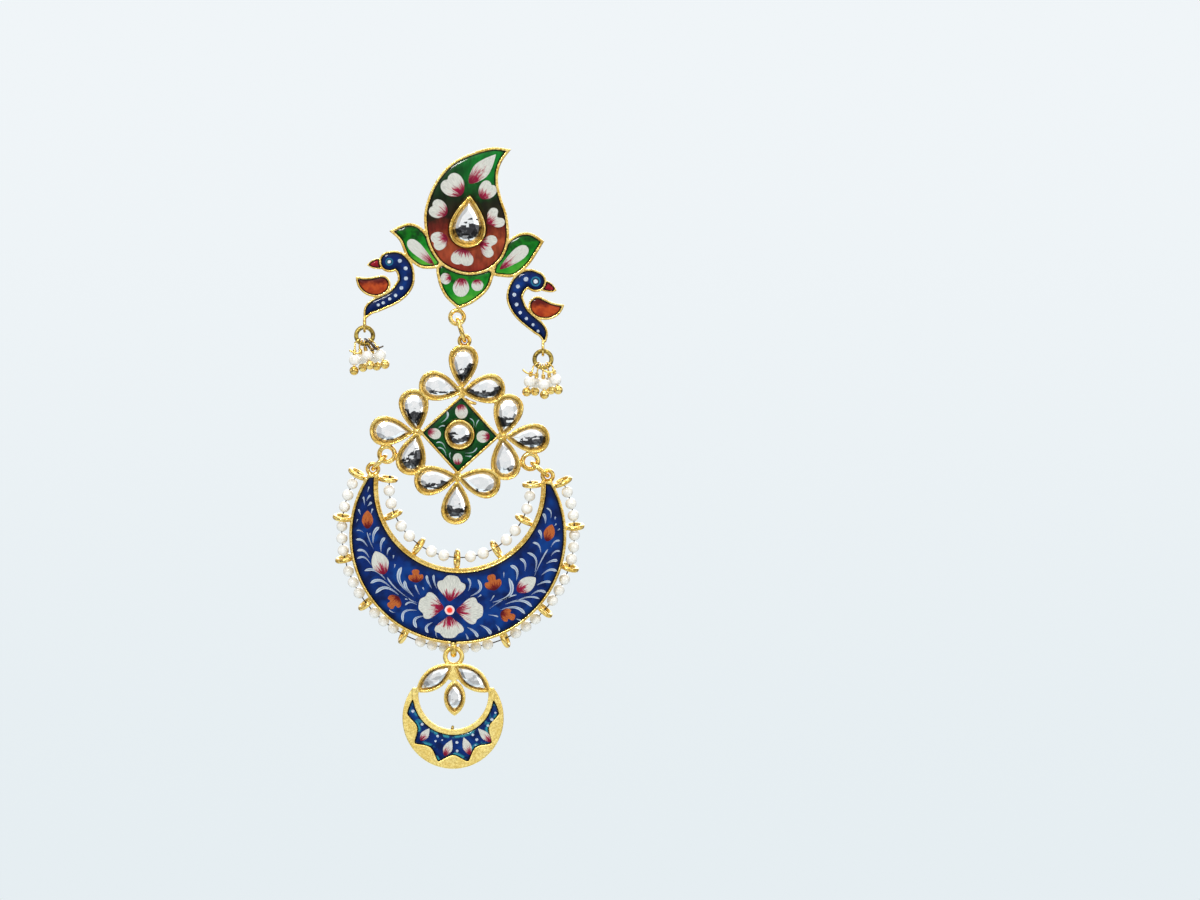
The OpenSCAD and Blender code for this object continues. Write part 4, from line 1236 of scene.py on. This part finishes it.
SPUR = [[(452.2, 733.6, -1.0), (452.4, 729.5, -1.1), (452.9, 726.6, -1.0)]]


def photo_wires(name, chart, radius, body, finish=GOLD, slot="gold"):
    """Fine wires laid along the lines of a chart."""
    add_wires(name, [photo_line(places) for places in chart], radius, body, finish, slot, 8)


wrapped_pins("left")
wrapped_pins("right")
photo_wires("left_drop_knot", KNOT, 0.15 * MM, "stud", THREAD, "thread")
photo_wires("left_drop_wire_end", LEFT_END, 0.17 * MM, "stud")
photo_wires("right_drop_wire_ends", RIGHT_ENDS, 0.17 * MM, "stud")
photo_wires("flower_solder", SOLDER, 0.3 * MM, "flower")
photo_wires("pendant_spur", SPUR, 0.28 * MM, "pendant", ANTIQUE)

# Threads

PLY_STEP = 0.07 * MM
PLY_PITCH = 0.62 * MM
PLY_OFFSET = 0.055 * MM
PLY_RADIUS = 0.075 * MM
KNOT_LOOK = 6
# The tail of a knot as (way along the thread, way to its side)
KNOT_TAIL = [(0.3 * MM, 0.0), (0.5 * MM, 0.35 * MM), (0.9 * MM, 0.55 * MM), (1.5 * MM, 0.5 * MM)]


def arc_line(node, step):
    """The middle line of a thread that lies on an arc, as even points with the way it runs."""
    co = corners(NODES[node].data)
    base = co.mean(0)
    first, second, _ = np.linalg.svd(co - base, full_matrices=False)[2]
    flat = np.column_stack([(co - base) @ first, (co - base) @ second])
    fit = np.linalg.lstsq(np.column_stack([2 * flat, np.ones(len(flat))]), (flat ** 2).sum(1), rcond=None)[0]
    centre = fit[:2]
    radius = math.sqrt(fit[2] + centre @ centre)
    heading = math.atan2(-centre[1], -centre[0])
    angle = np.arctan2(flat[:, 1] - centre[1], flat[:, 0] - centre[0]) - heading
    angle = (angle + math.pi) % math.tau - math.pi
    run = np.arange(angle.min(), angle.max(), step / radius) + heading
    place = centre + radius * np.column_stack([np.cos(run), np.sin(run)])
    out = np.cos(run)[:, None] * first + np.sin(run)[:, None] * second
    return base + place[:, :1] * first + place[:, 1:] * second, out, np.cross(first, second)


def spun_thread(node):
    """Two plies laid round each other along the CAD thread, and a knot at either end."""
    line, out, side = arc_line(node, PLY_STEP)
    turn = np.arange(len(line))[:, None] * (math.tau * PLY_STEP / PLY_PITCH)
    plies = [line + PLY_OFFSET * (np.cos(turn + start) * out + np.sin(turn + start) * side)
             for start in (0.0, math.pi)]
    for end, after in ((line[0], line[KNOT_LOOK]), (line[-1], line[-1 - KNOT_LOOK])):
        way = (after - end) / np.linalg.norm(after - end)
        plies.append(coil(end + way * 0.1 * MM, end + way * 0.55 * MM, 0.2 * MM, 3.5, 12))
        plies.append([end + way * along - side * across for along, across in KNOT_TAIL])
    add_wires(node + "_spun", plies, PLY_RADIUS, "crescent", THREAD, "thread", 6, replaced=[node])


spun_thread("inner_thread")
spun_thread("outer_thread")

# Camera, light and floor

PHOTO = (1200, 900)
CAMERA_AWAY = 0.95

scene = bpy.context.scene
camera = bpy.data.objects.new("camera", bpy.data.cameras.new("camera"))
scene.collection.objects.link(camera)
scene.camera = camera
camera.data.lens = camera.data.sensor_width * CAMERA_AWAY / (PHOTO[0] * PIXEL)
photo_middle = at_pixel(PHOTO[0] / 2, PHOTO[1] / 2)
camera.location = (photo_middle[0], -CAMERA_AWAY, photo_middle[1])
camera.rotation_euler = (math.radians(90), 0, 0)

HEART = Vector((0.0, 0.0, -0.045))


def softbox(name, place, size, power):
    """A rectangular lamp that faces the earring's middle."""
    lamp = bpy.data.lights.new(name, "AREA")
    lamp.shape = "RECTANGLE"
    lamp.size, lamp.size_y = size
    lamp.energy = power
    holder = bpy.data.objects.new(name, lamp)
    scene.collection.objects.link(holder)
    holder.location = place
    holder.rotation_euler = (HEART - Vector(place)).to_track_quat("-Z", "Y").to_euler()


softbox("key", (-0.24, -0.8, 0.4), (0.13, 0.08), 3.2)
softbox("fill", (0.55, -0.5, 0.1), (0.3, 0.5), 1.0)
softbox("top", (0.0, -0.1, 0.6), (0.6, 0.25), 2.0)
softbox("foot", (-0.1, -0.6, -0.5), (0.3, 0.2), 1.2)
softbox("back", (0.1, 0.6, 0.25), (0.5, 0.3), 2.0)

PALE_TOP = (0.871, 0.913, 0.939)
PALE_FOOT = (0.791, 0.855, 0.887)


def studio_world():
    """Plain pale ground, while what the gold mirrors is bright above, with dim strips and a dim floor."""
    world = bpy.data.worlds.new("studio")
    world.use_nodes = True
    world.node_tree.nodes.clear()
    tree = Tree(world.node_tree)
    way = tree.node("ShaderNodeTexCoord", out="Generated")
    up = tree.axis(way, "Z")
    side = tree.axis(way, "X").math("ABSOLUTE")
    strip = side.step(0.35, 0.6) * (1.0 - side.step(0.8, 0.95))
    mirrored_light = (up.step(-0.5, 0.3) * 0.92 + 0.14) * (1.0 - strip * 0.6)
    diffuse = tree.node("ShaderNodeLightPath", out="Is Diffuse Ray")
    bright = mirrored_light + (0.8 - mirrored_light) * diffuse * 0.6
    glow = tree.node("ShaderNodeBackground", None, {"Color": (1.0, 1.0, 1.0), "Strength": bright})
    ground = tree.mix(up.step(-0.09, 0.09), PALE_FOOT, PALE_TOP)
    plain = tree.node("ShaderNodeBackground", None, {"Color": ground, "Strength": 1.0})
    seen = tree.node("ShaderNodeLightPath", out="Is Camera Ray")
    mixed = tree.node("ShaderNodeMixShader", None, {0: seen, 1: glow, 2: plain})
    tree.node("ShaderNodeOutputWorld", None, {"Surface": mixed})
    scene.world = world


def paper(tree):
    """Pale floor paper."""
    fleck = tree.noise(tree.place(), 6 * MM, 4.0)
    return {"Base Color": tree.mix(fleck, (0.60, 0.66, 0.69), (0.64, 0.70, 0.73))}


FLOOR_Z = -0.3
FLOOR_RADIUS = 0.55


def pale_floor():
    """A round of paper well below the earring."""
    floor = bmesh.new()
    bmesh.ops.create_circle(floor, cap_ends=True, segments=96, radius=FLOOR_RADIUS)
    bmesh.ops.translate(floor, verts=floor.verts, vec=(0, 0, FLOOR_Z))
    mesh = bpy.data.meshes.new("floor")
    floor.to_mesh(mesh)
    floor.free()
    mesh.materials.append(material("pale_paper", paper, roughness=0.8))
    piece = bpy.data.objects.new("floor", mesh)
    scene.collection.objects.link(piece)


studio_world()
pale_floor()
scene.view_settings.view_transform = "Standard"
